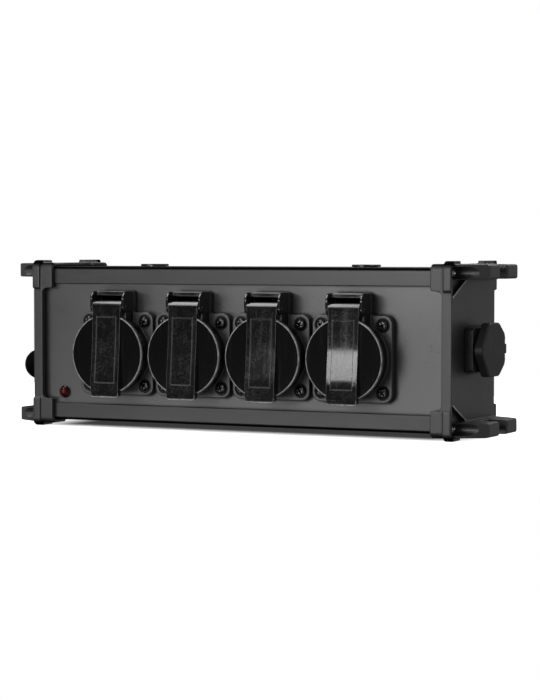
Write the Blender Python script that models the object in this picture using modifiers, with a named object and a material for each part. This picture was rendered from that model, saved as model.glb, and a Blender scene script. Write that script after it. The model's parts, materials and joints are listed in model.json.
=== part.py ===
# Power splitter box: an aluminium channel body between two moulded end caps, with four flush
# safety sockets under sprung lids, a mains inlet on one end and a mains outlet on the other.
# Units in the constants are millimetres; the scene is in metres, +Z up, front of the box at -Y.
import math

import bmesh
import bpy
from mathutils import Matrix, Vector

MM = 0.001

# ---- driving dimensions (mm) -------------------------------------------------------------
# design frame: X along the box, Y depth (0 = face of the front channel lip), Z from mid height
CENTRE_Y = 25.55         # middle of the overall depth, so the origin is under the middle
FLOOR_Z = -51.0          # underside of the corner straps

BODY_DEPTH = 64.9        # lip face to lip face
BODY_HALF_H = 47.05
BODY_HALF_L = 133.4
LIP_Z = 36.75            # inner edge of the lips
SHEET = 1.5
PANEL_Y0, PANEL_Y1 = 1.8, 3.8
PANEL_HALF_H = 38.6
PORT_Y, PORT_Z, PORT_R = 3.0, 44.2, 1.9     # screw ports in the channel corners

CAP_OUT = 137.8          # outer plane of the end caps
RAIL_IN = 131.7          # inner edge of the end cap rails
BRACKET_IN = 124.8
REAR_BRACKET_IN = 126.9
CAP_Y0, CAP_Y1 = -3.4, 68.3
CAP_HALF_H = 49.3
BRACKET_Z = 33.9
BRACKET_Y = 12.4
STRAP_IN, STRAP_OUT = 133.1, 137.95
STRAP_Y0, STRAP_Y1 = -4.84, 69.8
STRAP_HALF_H = 51.0
STRAP_Z = 33.6
STRAP_FRONT_LEG, STRAP_REAR_LEG = 10.6, 50.6

HORN_OUT = 156.1
HORN_Z0, HORN_Z1 = 40.6, 49.0
HORN_Y = (-1.0, 9.3, 26.4, 39.0, 56.0, 66.0)
NOTCH_FLOOR = 143.5
GROOVE_R = 3.3
RECESS_X = 135.0         # floor of the corner pockets in the end plate
SEAT_X = 134.8           # screw seats

SOCKET_X = (-78.96, -27.07, 24.82, 76.70)
SOCKET_Z = -5.24
FLANGE = 50.0
FLANGE_R = 5.0
SCREW_PITCH = 19.25
FLANGE_Y0, FLANGE_Y1 = -3.5, -0.5
GASKET_Y0, GASKET_Y1 = -0.2, 1.5
COLLAR_R, COLLAR_Y = 22.4, -12.5
WELL_R, WELL_Y = 19.6, 5.0
REAR_R, REAR_Y = 20.8, 26.0
HOUSING_HALF_W = 11.6
HOUSING_IN_W = 10.1
HOUSING_TOP = 37.8
HINGE_Y, HINGE_Z = -11.9, 28.4   # height above the socket centre
LID_R, LID_Y0, LID_Y1 = 24.15, -15.5, -12.8
STRIP_HALF_W = 9.4
STRIP_BOTTOM = -25.2

LED_X, LED_Z = -118.5, -29.9
INSERT_X, INSERT_Y = (-72.4, 70.0), 32.5

OUTLET_Y, INLET_Y = 31.9, 45.0
CONN_HALF_W, CONN_HALF_H = 15.5, 12.9
CONN_FACE = 5.5
MOUTH_R = 10.0
BARREL_R = 11.9
CAP_POINT, CAP_CORNER, CAP_FLAT = 21.0, 8.0, 15.5    # six-sided cover, before its corners are rounded
CAP_P0, CAP_P1 = 7.6, 13.0
PIVOT_P, PIVOT_DY = 9.5, 18.6

BREAKER_Y, BREAKER_Z = 16.5, -14.2
BUTTON_R, BUTTON_TOP = 9.5, 17.6

SEG = 20                 # sides of the large round pieces
SEG_S = 8                # sides of the small ones

# ---- a clean scene with two collections --------------------------------------------------
for old in list(bpy.data.objects):
    bpy.data.objects.remove(old, do_unlink=True)

parts = bpy.data.collections.new("power_splitter_box")
bpy.context.scene.collection.children.link(parts)
work = bpy.data.collections.new("cutters")
bpy.context.scene.collection.children.link(work)

frame = bpy.data.objects.new("box_frame", None)
frame.location = (0.0, -CENTRE_Y * MM, -FLOOR_Z * MM)
parts.objects.link(frame)


# ---- materials ---------------------------------------------------------------------------
def material(name, colour, rough, metal=0.0):
    m = bpy.data.materials.new(name)
    m.use_nodes = True
    b = m.node_tree.nodes["Principled BSDF"]
    b.inputs["Base Color"].default_value = (*colour, 1.0)
    b.inputs["Roughness"].default_value = rough
    b.inputs["Metallic"].default_value = metal
    m.diffuse_color = (*colour, 1.0)
    return m


# ---- shape helpers: everything is made in mm about its own origin, then scaled ----------
def link_mesh(name, mesh):
    obj = bpy.data.objects.new(name, mesh)
    work.objects.link(obj)
    return obj


def bake(obj):
    """Replace an object by its evaluated mesh, with the placing kept in the vertices."""
    bpy.context.view_layer.update()
    deps = bpy.context.evaluated_depsgraph_get()
    mesh = bpy.data.meshes.new_from_object(obj.evaluated_get(deps))
    mesh.transform(obj.matrix_world)
    name = obj.name
    bpy.data.objects.remove(obj, do_unlink=True)
    bm = bmesh.new()
    bm.from_mesh(mesh)
    bmesh.ops.remove_doubles(bm, verts=bm.verts, dist=1e-6)
    bmesh.ops.recalc_face_normals(bm, faces=bm.faces)
    bm.to_mesh(mesh)
    bm.free()
    return link_mesh(name, mesh)


def axis_matrix(axis):
    """Turns a shape made along +Z so that it runs along the given axis."""
    if axis == "X":
        return Matrix(((0, 0, 1, 0), (1, 0, 0, 0), (0, 1, 0, 0), (0, 0, 0, 1)))
    if axis == "Y":
        return Matrix(((0, 1, 0, 0), (0, 0, 1, 0), (1, 0, 0, 0), (0, 0, 0, 1)))
    return Matrix.Identity(4)


def outline(name, loops, axis, lo, hi):
    """A flat outline (with any holes) given depth. For axis X the points are (y, z),
    for Y they are (z, x) and for Z they are (x, y)."""
    curve = bpy.data.curves.new(name, "CURVE")
    curve.dimensions = "2D"
    curve.fill_mode = "BOTH"
    curve.extrude = (hi - lo) / 2 * MM
    for pts in loops:
        spline = curve.splines.new("POLY")
        spline.points.add(len(pts) - 1)
        for p, (u, v) in zip(spline.points, pts):
            p.co = (u * MM, v * MM, 0.0, 1.0)
        spline.use_cyclic_u = True
    obj = bpy.data.objects.new(name, curve)
    work.objects.link(obj)
    obj.matrix_world = axis_matrix(axis) @ Matrix.Translation((0, 0, (lo + hi) / 2 * MM))
    return bake(obj)


def turned(name, profile, axis, at, steps=SEG):
    """A turned piece. The profile holds (radius, height) pairs, from the high end down the
    outer side to the low end; at is where the height 0 point of its axis lies, in mm."""
    mesh = bpy.data.meshes.new(name)
    bm = bmesh.new()
    verts = [bm.verts.new((r * MM, 0.0, h * MM)) for r, h in profile]
    for a, b in zip(verts, verts[1:]):
        bm.edges.new((a, b))
    bm.to_mesh(mesh)
    bm.free()
    obj = link_mesh(name, mesh)
    screw = obj.modifiers.new("turn", "SCREW")
    screw.axis = "Z"
    screw.angle = math.tau
    screw.steps = screw.render_steps = steps
    screw.use_merge_vertices = True
    screw.merge_threshold = 0.00001
    obj.matrix_world = Matrix.Translation(Vector(at) * MM) @ axis_matrix(axis)
    return bake(obj)


def rod(name, r, axis, at, lo, hi, steps=SEG_S):
    return turned(name, [(0, hi), (r, hi), (r, lo), (0, lo)], axis, at, steps)


def block(name, x0, x1, y0, y1, z0, z1):
    mesh = bpy.data.meshes.new(name)
    bm = bmesh.new()
    size = Matrix.Diagonal(((x1 - x0) * MM, (y1 - y0) * MM, (z1 - z0) * MM, 1.0))
    place = Matrix.Translation(((x0 + x1) / 2 * MM, (y0 + y1) / 2 * MM, (z0 + z1) / 2 * MM))
    bmesh.ops.create_cube(bm, size=1.0, matrix=place @ size)
    bm.to_mesh(mesh)
    bm.free()
    return link_mesh(name, mesh)


def combine(obj, others, how):
    """Boolean the other objects with this one, all at once, and keep the result."""
    name = obj.name
    for i, other in enumerate(others):
        mod = obj.modifiers.new(f"{how.lower()}_{i}", "BOOLEAN")
        mod.operation = how
        mod.solver = "EXACT"
        mod.object = other
        other.hide_render = True
        other.display_type = "WIRE"
    out = bake(obj)
    for other in others:
        bpy.data.objects.remove(other, do_unlink=True)
    out.name = name
    return out


def join(obj, *others):
    return combine(obj, others, "UNION")


def cut(obj, *others):
    return combine(obj, others, "DIFFERENCE")


def mirrored(obj, name, axis=0):
    """A copy reflected across X = 0 (or another axis), with its faces turned right again."""
    mesh = obj.data.copy()
    scale = [1.0, 1.0, 1.0]
    scale[axis] = -1.0
    mesh.transform(Matrix.Diagonal((*scale, 1.0)))
    mesh.flip_normals()
    return link_mesh(name, mesh)


def arc(cx, cy, r, a0, a1, n):
    return [
        (cx + r * math.cos(math.radians(a0 + (a1 - a0) * i / n)),
         cy + r * math.sin(math.radians(a0 + (a1 - a0) * i / n)))
        for i in range(n + 1)
    ]


def circle(cx, cy, r, n=SEG):
    return [
        (cx + r * math.cos(math.tau * i / n), cy + r * math.sin(math.tau * i / n))
        for i in range(n)
    ]


def round_rect(u0, u1, v0, v1, r, n=5):
    return (
        arc(u1 - r, v1 - r, r, 0, 90, n)
        + arc(u0 + r, v1 - r, r, 90, 180, n)
        + arc(u0 + r, v0 + r, r, 180, 270, n)
        + arc(u1 - r, v0 + r, r, 270, 360, n)
    )


def flip_y(pts):
    """The same (y, z) outline seen from the rear: y mirrored about mid depth."""
    return [(BODY_DEPTH - y, z) for y, z in pts][::-1]


def finish(obj, name, mat, parent=frame, origin=(0, 0, 0), angle=35):
    """Give a finished piece its name, material, origin (mm) and place under its parent."""
    origin = Vector(origin) * MM
    obj.data.transform(Matrix.Translation(-origin))
    obj.name = name
    obj.data.name = name
    obj.data.materials.clear()
    obj.data.materials.append(mat)
    obj.data.shade_smooth()
    obj.data.set_sharp_from_angle(angle=math.radians(angle))
    work.objects.unlink(obj)
    parts.objects.link(obj)
    obj.parent = parent
    obj.location = origin
    return obj


def repeat(source, name, place):
    obj = bpy.data.objects.new(name, source.data)
    parts.objects.link(obj)
    obj.parent = source.parent
    obj.location = source.location + Vector(place) * MM
    return obj


alu = material("channel_coat", (0.072, 0.072, 0.074), 0.55, 0.0)
panel_coat = material("panel_coat", (0.10, 0.10, 0.102), 0.5, 0.0)
moulded = material("cap_plastic", (0.062, 0.062, 0.064), 0.6)
socket_plastic = material("socket_plastic", (0.055, 0.055, 0.056), 0.42)
gloss = material("lid_plastic", (0.008, 0.008, 0.009), 0.12)
rubber = material("rubber_black", (0.02, 0.02, 0.021), 0.75)
steel = material("blackened_steel", (0.05, 0.05, 0.052), 0.3, 1.0)
zinc = material("zinc_steel", (0.6, 0.6, 0.62), 0.3, 1.0)
red = material("pilot_red", (0.25, 0.01, 0.01), 0.15)
grey = material("terminal_grey", (0.45, 0.45, 0.46), 0.5)
cable = material("cable_sheath", (0.03, 0.03, 0.03), 0.6)


# ---- 1. channel body: upper and lower shells, front and rear panels ----------------------
def shell_outline():
    """Cross-section (y, z) of the upper channel: outer skin, lips, panel grooves, ports."""
    h, d = BODY_HALF_H, BODY_DEPTH
    corner = 1.2
    front = [(0.0, LIP_Z)] + arc(corner, h - corner, corner, 180, 90, 4)
    rear = arc(d - corner, h - corner, corner, 90, 0, 4) + [(d, LIP_Z)]
    inside_rear = [
        (d - 1.5, LIP_Z), (d - 1.5, PANEL_HALF_H + 0.3), (d - 4.1, PANEL_HALF_H + 0.3),
        (d - 4.1, LIP_Z), (d - 5.6, LIP_Z), (d - 5.6, 41.6), (d - 7.2, 43.4),
        (d - 7.2, h - SHEET),
    ]
    inside_front = [(d - y, z) for y, z in inside_rear][::-1]
    return front + rear + inside_rear + inside_front


def shell(name, sign, holes=()):
    pts = shell_outline()
    loops = [pts, circle(PORT_Y, PORT_Z, PORT_R, 8),
             circle(BODY_DEPTH - PORT_Y, PORT_Z, PORT_R, 8)]
    if sign < 0:
        loops = [[(y, -z) for y, z in loop][::-1] for loop in loops]
    body = outline(name, loops, "X", -BODY_HALF_L, BODY_HALF_L)
    if holes:
        body = cut(body, *[rod("hole", 7.3, "Z", (x, INSERT_Y, 0), 40, 55, 18) for x in holes])
    return body


finish(shell("top_shell", 1, INSERT_X), "top_shell", alu)
finish(shell("bottom_shell", -1), "bottom_shell", alu)

half = BODY_HALF_L - 0.3
sockets = [(SOCKET_Z, x) for x in SOCKET_X]
loops = [[(-PANEL_HALF_H, -half), (PANEL_HALF_H, -half), (PANEL_HALF_H, half), (-PANEL_HALF_H, half)]]
loops += [circle(z, x, REAR_R + 0.5) for z, x in sockets]
loops += [
    circle(z + sz * SCREW_PITCH, x + sx * SCREW_PITCH, 1.9, 6)
    for z, x in sockets for sz in (-1, 1) for sx in (-1, 1)
]
loops += [circle(LED_Z, LED_X, 3.5, SEG_S)]
finish(outline("front_panel", loops, "Y", PANEL_Y0, PANEL_Y1), "front_panel", panel_coat)
finish(
    outline("rear_panel", loops[:1], "Y", BODY_DEPTH - PANEL_Y1, BODY_DEPTH - PANEL_Y0),
    "rear_panel", panel_coat,
)


# ---- 2. end caps -------------------------------------------------------------------------
def strap_outline(top, leg, rear):
    """L-shaped strap (y, z) round one corner; leg is where its flat leg ends."""
    r, n = 4.6, 4
    z1 = STRAP_HALF_H
    if rear:
        y1 = STRAP_Y1
        pts = ([(leg, z1)] + arc(y1 - 1.0, z1 - 1.0, 1.0, 90, 0, 2)
               + arc(y1 - 1.2, STRAP_Z + 1.2, 1.2, 0, -90, 2)
               + [(y1 - 3.0, STRAP_Z), (y1 - 3.0, z1 - 3.0), (leg, z1 - 3.0)])
    else:
        y0 = STRAP_Y0
        pts = ([(leg, z1 - 3.0), (y0 + 3.0, z1 - 3.0), (y0 + 3.0, STRAP_Z)]
               + arc(y0 + 1.2, STRAP_Z + 1.2, 1.2, 270, 180, 2)
               + arc(y0 + r, z1 - r, r, 180, 90, n) + [(leg, z1)])
    if not top:
        pts = [(y, -z) for y, z in pts][::-1]
    return pts


def horn_outline():
    y0, y1, y2, y3, y4, y5 = HORN_Y
    x0, x1 = CAP_OUT, HORN_OUT
    base = RECESS_X - 0.7
    return [
        (base, -2.4), (x0 - 2.6, -2.4), (x1 - 0.6, y1 - 0.5), (x1, y1 + 0.3),
        (x1, y2 - 0.8), (x1 - 0.8, y2), (NOTCH_FLOOR, y2), (NOTCH_FLOOR, y3), (x1 - 0.8, y3),
        (x1, y3 + 0.8), (x1, y4 - 0.3), (x1 - 0.6, y4 + 0.5), (x0 - 1.5, y5 + 0.7), (base, y5 + 0.7),
    ]


def recess_outline(top):
    """Pocket (y, z) at a front corner of the end plate, closed off by its diagonal edge."""
    pts = [(-1.7, 30.4), (14.4, 38.1), (17.5, 39.4), (20.0, 40.5), (20.0, 44.0), (-1.7, 44.0)]
    if not top:
        pts = [(y, -z) for y, z in pts][::-1]
    return pts


def driver_groove(top, rear):
    """U-shaped (y, z) way for a screwdriver, open towards the outer corner."""
    pts = ([(-1.5, PORT_Z - GROOVE_R)] + arc(PORT_Y, PORT_Z, GROOVE_R, -90, 90, 5)
           + [(-1.5, PORT_Z + GROOVE_R)])
    if rear:
        pts = flip_y(pts)
    if not top:
        pts = [(y, -z) for y, z in pts][::-1]
    return pts


def end_cap(name, openings):
    cy0, cy1, ch = CAP_Y0, CAP_Y1, CAP_HALF_H
    corners = [(top, rear) for top in (True, False) for rear in (True, False)]
    cap = outline(name, [round_rect(cy0, cy1, -ch, ch, 3.6, 4)], "X", BRACKET_IN, CAP_OUT)
    gap = 0.3
    pocket = outline(
        "pocket", [round_rect(-gap, BODY_DEPTH + gap, -BODY_HALF_H - gap, BODY_HALF_H + gap, 1.3, 2)],
        "X", BRACKET_IN - 5, BODY_HALF_L + gap,
    )
    # the windows leave an L-shaped bracket at each corner, with a small inside fillet
    r = 3.0
    side = (
        [(-BRACKET_Z, BRACKET_IN - 5)] + arc(-BRACKET_Z + r, RAIL_IN - r, r, 180, 90, 3)
        + arc(BRACKET_Z - r, RAIL_IN - r, r, 90, 0, 3) + [(BRACKET_Z, BRACKET_IN - 5)]
    )
    side_window = outline("side_window", [side[::-1]], "Y", cy0 - 5, cy1 + 5)
    b0, b1 = BRACKET_Y, BODY_DEPTH - BRACKET_Y
    flat = (
        [(BRACKET_IN - 5, b0)] + arc(RAIL_IN - r, b0 + r, r, -90, 0, 3)
        + arc(RAIL_IN - r, b1 - r, r, 0, 90, 3) + [(BRACKET_IN - 5, b1)]
    )
    flat_window = outline("flat_window", [flat], "Z", -ch - 5, ch + 5)
    # the rear outer edge of the plate is chamfered
    edge = [(CAP_OUT - 3.4, cy1 + 1.2), (CAP_OUT + 1.2, cy1 - 3.4), (CAP_OUT + 1.2, cy1 + 1.2)]
    rear_edge = outline("rear_edge", [edge], "Z", -ch - 7, ch + 7)
    cap = cut(cap, pocket)
    cap = cut(cap, side_window)
    cap = cut(cap, flat_window)
    cap = cut(cap, rear_edge)
    # the brackets are a little shorter at the rear
    cap = cut(cap, *[block("short", BRACKET_IN - 5, REAR_BRACKET_IN, BODY_DEPTH - BRACKET_Y - 5, cy1 + 5, *z)
                     for z in ((BRACKET_Z - 5, ch + 5), (-ch - 5, -BRACKET_Z + 5))])
    # pockets at the front corners of the end plate
    cap = cut(cap, *[outline("recess", [recess_outline(t)], "X", RECESS_X, CAP_OUT + 5)
                     for t in (True, False)])
    # raised corner straps, which are also the feet and the stacking pads
    cap = join(cap, *[
        outline("strap", [strap_outline(t, STRAP_REAR_LEG if b else STRAP_FRONT_LEG, b)],
                "X", STRAP_IN, STRAP_OUT)
        for t, b in corners
    ])
    # horns: two blocks at top and bottom with an open notch between them
    cap = join(cap, outline("horn", [horn_outline()], "Z", HORN_Z0, HORN_Z1),
               outline("horn", [horn_outline()], "Z", -HORN_Z1, -HORN_Z0))
    # screw seats: a driver-wide groove that runs out through the horn, and a through hole
    cap = cut(cap, *[outline("groove", [driver_groove(t, b)], "X", SEAT_X, 170) for t, b in corners])
    cap = cut(cap, *[rod("hole", PORT_R, "X", (0, y, t * PORT_Z), 120, 140, 8)
                     for t in (1, -1) for y in (PORT_Y, BODY_DEPTH - PORT_Y)])
    return cut(cap, *openings)


outlet_hole = rod("outlet_hole", BARREL_R + 0.3, "X", (0, OUTLET_Y, 0), 120, 150, SEG)
right = end_cap("end_cap_right", [outlet_hole])
inlet_hole = rod("inlet_hole", BARREL_R + 0.3, "X", (0, INLET_Y, 0), 120, 150, SEG)
breaker_hole = rod("breaker_hole", 6.3, "X", (0, BREAKER_Y, BREAKER_Z), 120, 150, 18)
left = end_cap("end_cap_left", [inlet_hole, breaker_hole])
left_mirror = mirrored(left, "end_cap_left_m")
bpy.data.objects.remove(left, do_unlink=True)
finish(right, "end_cap_right", moulded, angle=30)
finish(left_mirror, "end_cap_left", moulded, angle=30)


# ---- 3. sockets: flange with hinge housing, gasket, lid and pin --------------------------
def flange_loop(r=FLANGE_R, grow=0.0):
    """Outline (z, x) of the flange with the tab that carries the hinge housing."""
    h = FLANGE / 2 + grow
    w = HOUSING_HALF_W + grow
    top = HOUSING_TOP + grow
    n = 3
    return (
        [(h, -w)] + arc(h - r, -h + r, r, 0, -90, n) + arc(-h + r, -h + r, r, -90, -180, n)
        + arc(-h + r, h - r, r, 180, 90, n) + arc(h - r, h - r, r, 90, 0, n)
        + [(h, w)] + arc(top - 2.0, w - 2.0, 2.0, 90, 0, 2) + arc(top - 2.0, -w + 2.0, 2.0, 0, -90, 2)
    )


def socket_body():
    screw_at = [(sz * SCREW_PITCH, sx * SCREW_PITCH) for sz in (-1, 1) for sx in (-1, 1)]
    body = outline("socket", [flange_loop()], "Y", FLANGE_Y0, FLANGE_Y1)
    # collar in front and round insert behind
    drum = turned("drum", [(0, REAR_Y), (REAR_R, REAR_Y), (REAR_R, -1.5), (COLLAR_R, -1.5),
                           (COLLAR_R, COLLAR_Y), (0, COLLAR_Y)], "Y", (0, 0, 0))
    # hinge housing: a hood with two cheeks, open to the front
    y0, y1, top = -14.0, FLANGE_Y1 - 0.6, HOUSING_TOP
    hood = [(y1, 16.6), (-12.2, 16.6), (-12.2, 23.2), (y0, 24.6), (y0, top - 3.0)]
    hood += arc(y0 + 3.0, top - 3.0, 3.0, 180, 90, 3)[1:] + [(y1, top)]
    hood = outline("hood", [hood[::-1]], "X", -HOUSING_HALF_W, HOUSING_HALF_W)
    body = join(body, drum)
    body = join(body, hood)
    room = [(FLANGE_Y0 - 1.2, 23.5), (-20.0, 23.5), (-20.0, top - 1.5), (FLANGE_Y0 - 1.2, top - 1.5)]
    body = cut(body, outline("room", [room[::-1]], "X", -HOUSING_IN_W, HOUSING_IN_W))
    body = cut(body, rod("well", WELL_R, "Y", (0, 0, 0), -30.0, WELL_Y, SEG))
    body = cut(body, *[rod("pin_hole", 2.6, "Y", (s * 9.5, 0, 0), 0.0, 21.0, 8) for s in (-1, 1)])
    body = cut(body, rod("bore", 1.5, "X", (0, HINGE_Y, HINGE_Z), -20, 20, 10))
    body = cut(body, *[rod("seat", 4.2, "Y", (x, 0, z), -8.0, -2.6, SEG_S) for z, x in screw_at])
    return cut(body, *[rod("hole", 1.8, "Y", (x, 0, z), -8.0, 4.0, 6) for z, x in screw_at])


def socket_gasket():
    loops = [flange_loop(), circle(0, 0, REAR_R + 0.5)]
    loops += [circle(sz * SCREW_PITCH, sx * SCREW_PITCH, 1.9, 6) for sz in (-1, 1) for sx in (-1, 1)]
    return outline("gasket", loops, "Y", GASKET_Y0, GASKET_Y1)


def socket_lid():
    disc = turned("disc", [(0, LID_Y1), (17.6, LID_Y1), (17.6, LID_Y1 + 2.0), (19.2, LID_Y1 + 2.0),
                           (19.2, LID_Y1), (LID_R, LID_Y1), (LID_R, LID_Y0 + 0.7),
                           (LID_R - 0.85, LID_Y0), (0, LID_Y0)], "Y", (0, 0, 0), 24)
    # lift strip: from the barrel over the disc to the tab below its edge, a little wedge-shaped
    strip = [(-13.6, HINGE_Z), (HINGE_Y - 3.9, HINGE_Z), (-18.7, STRIP_BOTTOM + 0.8),
             (-18.1, STRIP_BOTTOM), (-14.9, STRIP_BOTTOM), (-14.2, -20.0), (-13.6, 20.0)]
    strip = outline("strip", [strip], "X", -STRIP_HALF_W, STRIP_HALF_W)
    barrel = rod("barrel", 3.75, "X", (0, HINGE_Y, HINGE_Z), -STRIP_HALF_W + 0.2, STRIP_HALF_W - 0.2, 16)
    lid = join(disc, strip)
    lid = join(lid, barrel)
    return cut(lid, rod("bore", 1.5, "X", (0, HINGE_Y, HINGE_Z), -20, 20, 10))


def pan_screw(name, axis, seat, head_r, head_h, shaft_r, shaft_len):
    """A pan-head screw with its head outwards (towards -axis) from its seat."""
    profile = [(0, shaft_len), (shaft_r, shaft_len - 1.2), (shaft_r, 0.0), (head_r, 0.0),
               (head_r, -head_h * 0.5), (head_r * 0.62, -head_h), (0, -head_h)]
    screw = turned(name, profile, axis, (0, 0, 0), 8)
    screw.data.transform(Matrix.Translation(Vector(seat) * MM))
    return screw


def socket_origin(i):
    return (SOCKET_X[i], 0.0, SOCKET_Z)


names = ("1", "2", "3", "4")
body0 = finish(socket_body(), "socket_1_body", socket_plastic)
gasket0 = finish(socket_gasket(), "socket_1_gasket", rubber)
lid0 = finish(socket_lid(), "socket_1_lid", gloss, origin=(0, HINGE_Y, HINGE_Z))
pin0 = finish(rod("pin", 1.2, "X", (0, HINGE_Y, HINGE_Z), -11.9, 11.9, 8), "socket_1_hinge_pin", steel,
              origin=(0, HINGE_Y, HINGE_Z))
screw0 = finish(pan_screw("screw", "Y", (0, -2.9, 0), 3.4, 2.0, 1.4, 11.0), "socket_1_screw_1", steel,
                origin=(0, -2.9, 0))
screw_places = [(-1, 1), (1, 1), (1, -1), (-1, -1)]
screw_home = screw0.location.copy()
for i, tag in enumerate(names):
    shift = Vector(socket_origin(i)) * MM
    for base, suffix in ((body0, "body"), (gasket0, "gasket"), (lid0, "lid"), (pin0, "hinge_pin")):
        if i == 0:
            continue
        twin = repeat(base, f"socket_{tag}_{suffix}", (0, 0, 0))
        twin.location = base.location + shift
    for k, (sx, sz) in enumerate(screw_places):
        place = screw_home + shift + Vector((sx * SCREW_PITCH, 0, sz * SCREW_PITCH)) * MM
        if i == 0 and k == 0:
            first_place = place
            continue
        twin = repeat(screw0, f"socket_{tag}_screw_{k + 1}", (0, 0, 0))
        twin.location = place
screw0.location = first_place
for base in (body0, gasket0, lid0, pin0):
    base.location = base.location + Vector(socket_origin(0)) * MM

# ---- 4. end cap screws -------------------------------------------------------------------
end_screw = pan_screw("end_screw", "X", (0, 0, 0), 3.0, 2.0, 1.5, 15.0)
end_screw_r = mirrored(end_screw, "end_screw_r")
first = finish(end_screw, "end_cap_left_screw_1", steel)
first_r = finish(end_screw_r, "end_cap_right_screw_1", steel)
corners = [(PORT_Y, PORT_Z), (BODY_DEPTH - PORT_Y, PORT_Z), (BODY_DEPTH - PORT_Y, -PORT_Z), (PORT_Y, -PORT_Z)]
for base, side, tag in ((first, -1, "left"), (first_r, 1, "right")):
    for k, (y, z) in enumerate(corners):
        twin = base if k == 0 else repeat(base, f"end_cap_{tag}_screw_{k + 1}", (0, 0, 0))
        twin.location = Vector((side * (SEAT_X + 0.3), y, z)) * MM

# ---- 5. pilot lamp -----------------------------------------------------------------------
lamp = turned("bezel", [(2.6, 10.0), (3.2, 10.0), (3.2, 1.5), (3.75, 1.5), (3.75, 0.75), (3.5, 0.5), (2.6, 0.5),
                        (2.6, 10.0)], "Y", (LED_X, 0, LED_Z), 14)
finish(lamp, "pilot_lamp_bezel", steel)
dome = [(0, 7.0), (2.3, 7.0), (2.3, 0.2), (3.0, 0.2)]
dome += [(3.0 * math.cos(a), -0.2 - 1.6 * math.sin(a)) for a in (0.0, 0.5, 1.0)] + [(0, -1.8)]
finish(turned("lens", dome, "Y", (LED_X, 0, LED_Z), 14), "pilot_lamp_lens", red)

# ---- 6. threaded rigging inserts in the roof ---------------------------------------------
insert = turned("insert", [(4.25, 48.6), (8.3, 48.6), (8.6, 48.3), (8.6, 47.35), (7.0, 47.35), (7.0, 35.0),
                           (4.25, 35.0), (4.25, 48.6)], "Z", (0, 0, 0), 18)
insert_left = finish(insert, "rigging_insert_left", steel)
insert_right = repeat(insert_left, "rigging_insert_right", (0, 0, 0))
insert_left.location = Vector((INSERT_X[0], INSERT_Y, 0)) * MM
insert_right.location = Vector((INSERT_X[1], INSERT_Y, 0)) * MM


# ---- 7. mains connectors with hinged sealing caps ----------------------------------------
def connector(name, yc):
    """Chassis connector on the right end: square flange outside, round barrel inside."""
    x0 = CAP_OUT + 0.3
    x1 = CAP_OUT + CONN_FACE
    body = outline(name, [round_rect(yc - CONN_HALF_W, yc + CONN_HALF_W, -CONN_HALF_H, CONN_HALF_H, 2.5, 3)],
                   "X", x0, x1)
    barrel = rod("barrel", BARREL_R, "X", (0, yc, 0), 118.0, x0 + 1.0, SEG)
    ears = []
    for s in (-1, 1):
        z0, z1 = sorted((s * 3.3, s * 5.5))
        ya, yb = yc + PIVOT_DY - 2.2, yc + PIVOT_DY + 2.2
        px = CAP_OUT + PIVOT_P
        pts = [(x0, yc + 12.0), (x1 - 0.8, yc + 12.0), (x1 - 0.8, ya)]
        pts += arc(px, yc + PIVOT_DY, 2.2, -90, 90, 4) + [(x0, yb)]
        ears.append(outline("ear", [pts], "Z", z0, z1))
    body = join(body, barrel)
    body = join(body, *ears)
    body = cut(body, rod("mouth", MOUTH_R, "X", (0, yc, 0), 123.0, 160.0, SEG))
    body = cut(body, rod("pivot", 1.4, "Z", (CAP_OUT + PIVOT_P, yc + PIVOT_DY, 0), -10, 10, 10))
    return join(body, rod("core", 6.2, "X", (0, yc, 0), 121.0, 133.6, 16))


def rounded(corners, r, n):
    """A closed outline with every corner rounded; the corners run anticlockwise."""
    out = []
    for i, b in enumerate(corners):
        a, c = corners[i - 1], corners[(i + 1) % len(corners)]
        u, v, b = (Vector(a) - Vector(b)).normalized(), (Vector(c) - Vector(b)).normalized(), Vector(b)
        half = u.angle(v) / 2
        mid = b + (u + v).normalized() * (r / math.sin(half))
        a0 = math.degrees(math.atan2(*((b + u * (r / math.tan(half))) - mid).yx))
        out += arc(mid.x, mid.y, r, a0, a0 + 180 - math.degrees(2 * half), n)
    return out


def cover_outline(yc):
    """Six-sided outline (y, z) of a sealing cap, with flats above and below."""
    w, c, h = CAP_POINT, CAP_CORNER, CAP_FLAT
    return rounded([(yc + w, 0.0), (yc + c, h), (yc - c, h), (yc - w, 0.0), (yc - c, -h), (yc + c, -h)], 5.0, 4)


def sealing_cap(name, yc):
    x0, x1 = CAP_OUT + CAP_P0, CAP_OUT + CAP_P1
    px, py = CAP_OUT + PIVOT_P, yc + PIVOT_DY
    cap = outline(name, [cover_outline(yc)], "X", x0, x1)
    cap = cut(cap, block("relief", x0 - 5, CAP_OUT + 12.0, yc + 15.6, yc + 40, -5.8, 5.8))
    cap = cut(cap, block("relief", x0 - 5, x1 + 5, yc + 17.0, yc + 40, -5.7, 5.7))
    arm = [(px - 2.6, yc + 13.0), (x1 - 0.25, yc + 13.0), (x1 - 0.25, yc + 19.8), (x1 - 1.4, yc + 21.2),
           (px, yc + 21.3), (px - 2.6, py)]
    arm = outline("arm", [arm], "Z", -2.6, 2.6)
    knuckle = rod("knuckle", 3.05, "Z", (px, py, 0), -2.85, 2.85, 16)
    trunnion = rod("trunnion", 1.1, "Z", (px, py, 0), -5.3, 5.3, 8)
    plug = rod("plug", 8.8, "X", (0, yc, 0), CAP_OUT + 3.0, x0 + 1.0, 24)
    cap = join(cap, arm)
    cap = join(cap, knuckle)
    cap = join(cap, trunnion)
    return join(cap, plug)


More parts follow.
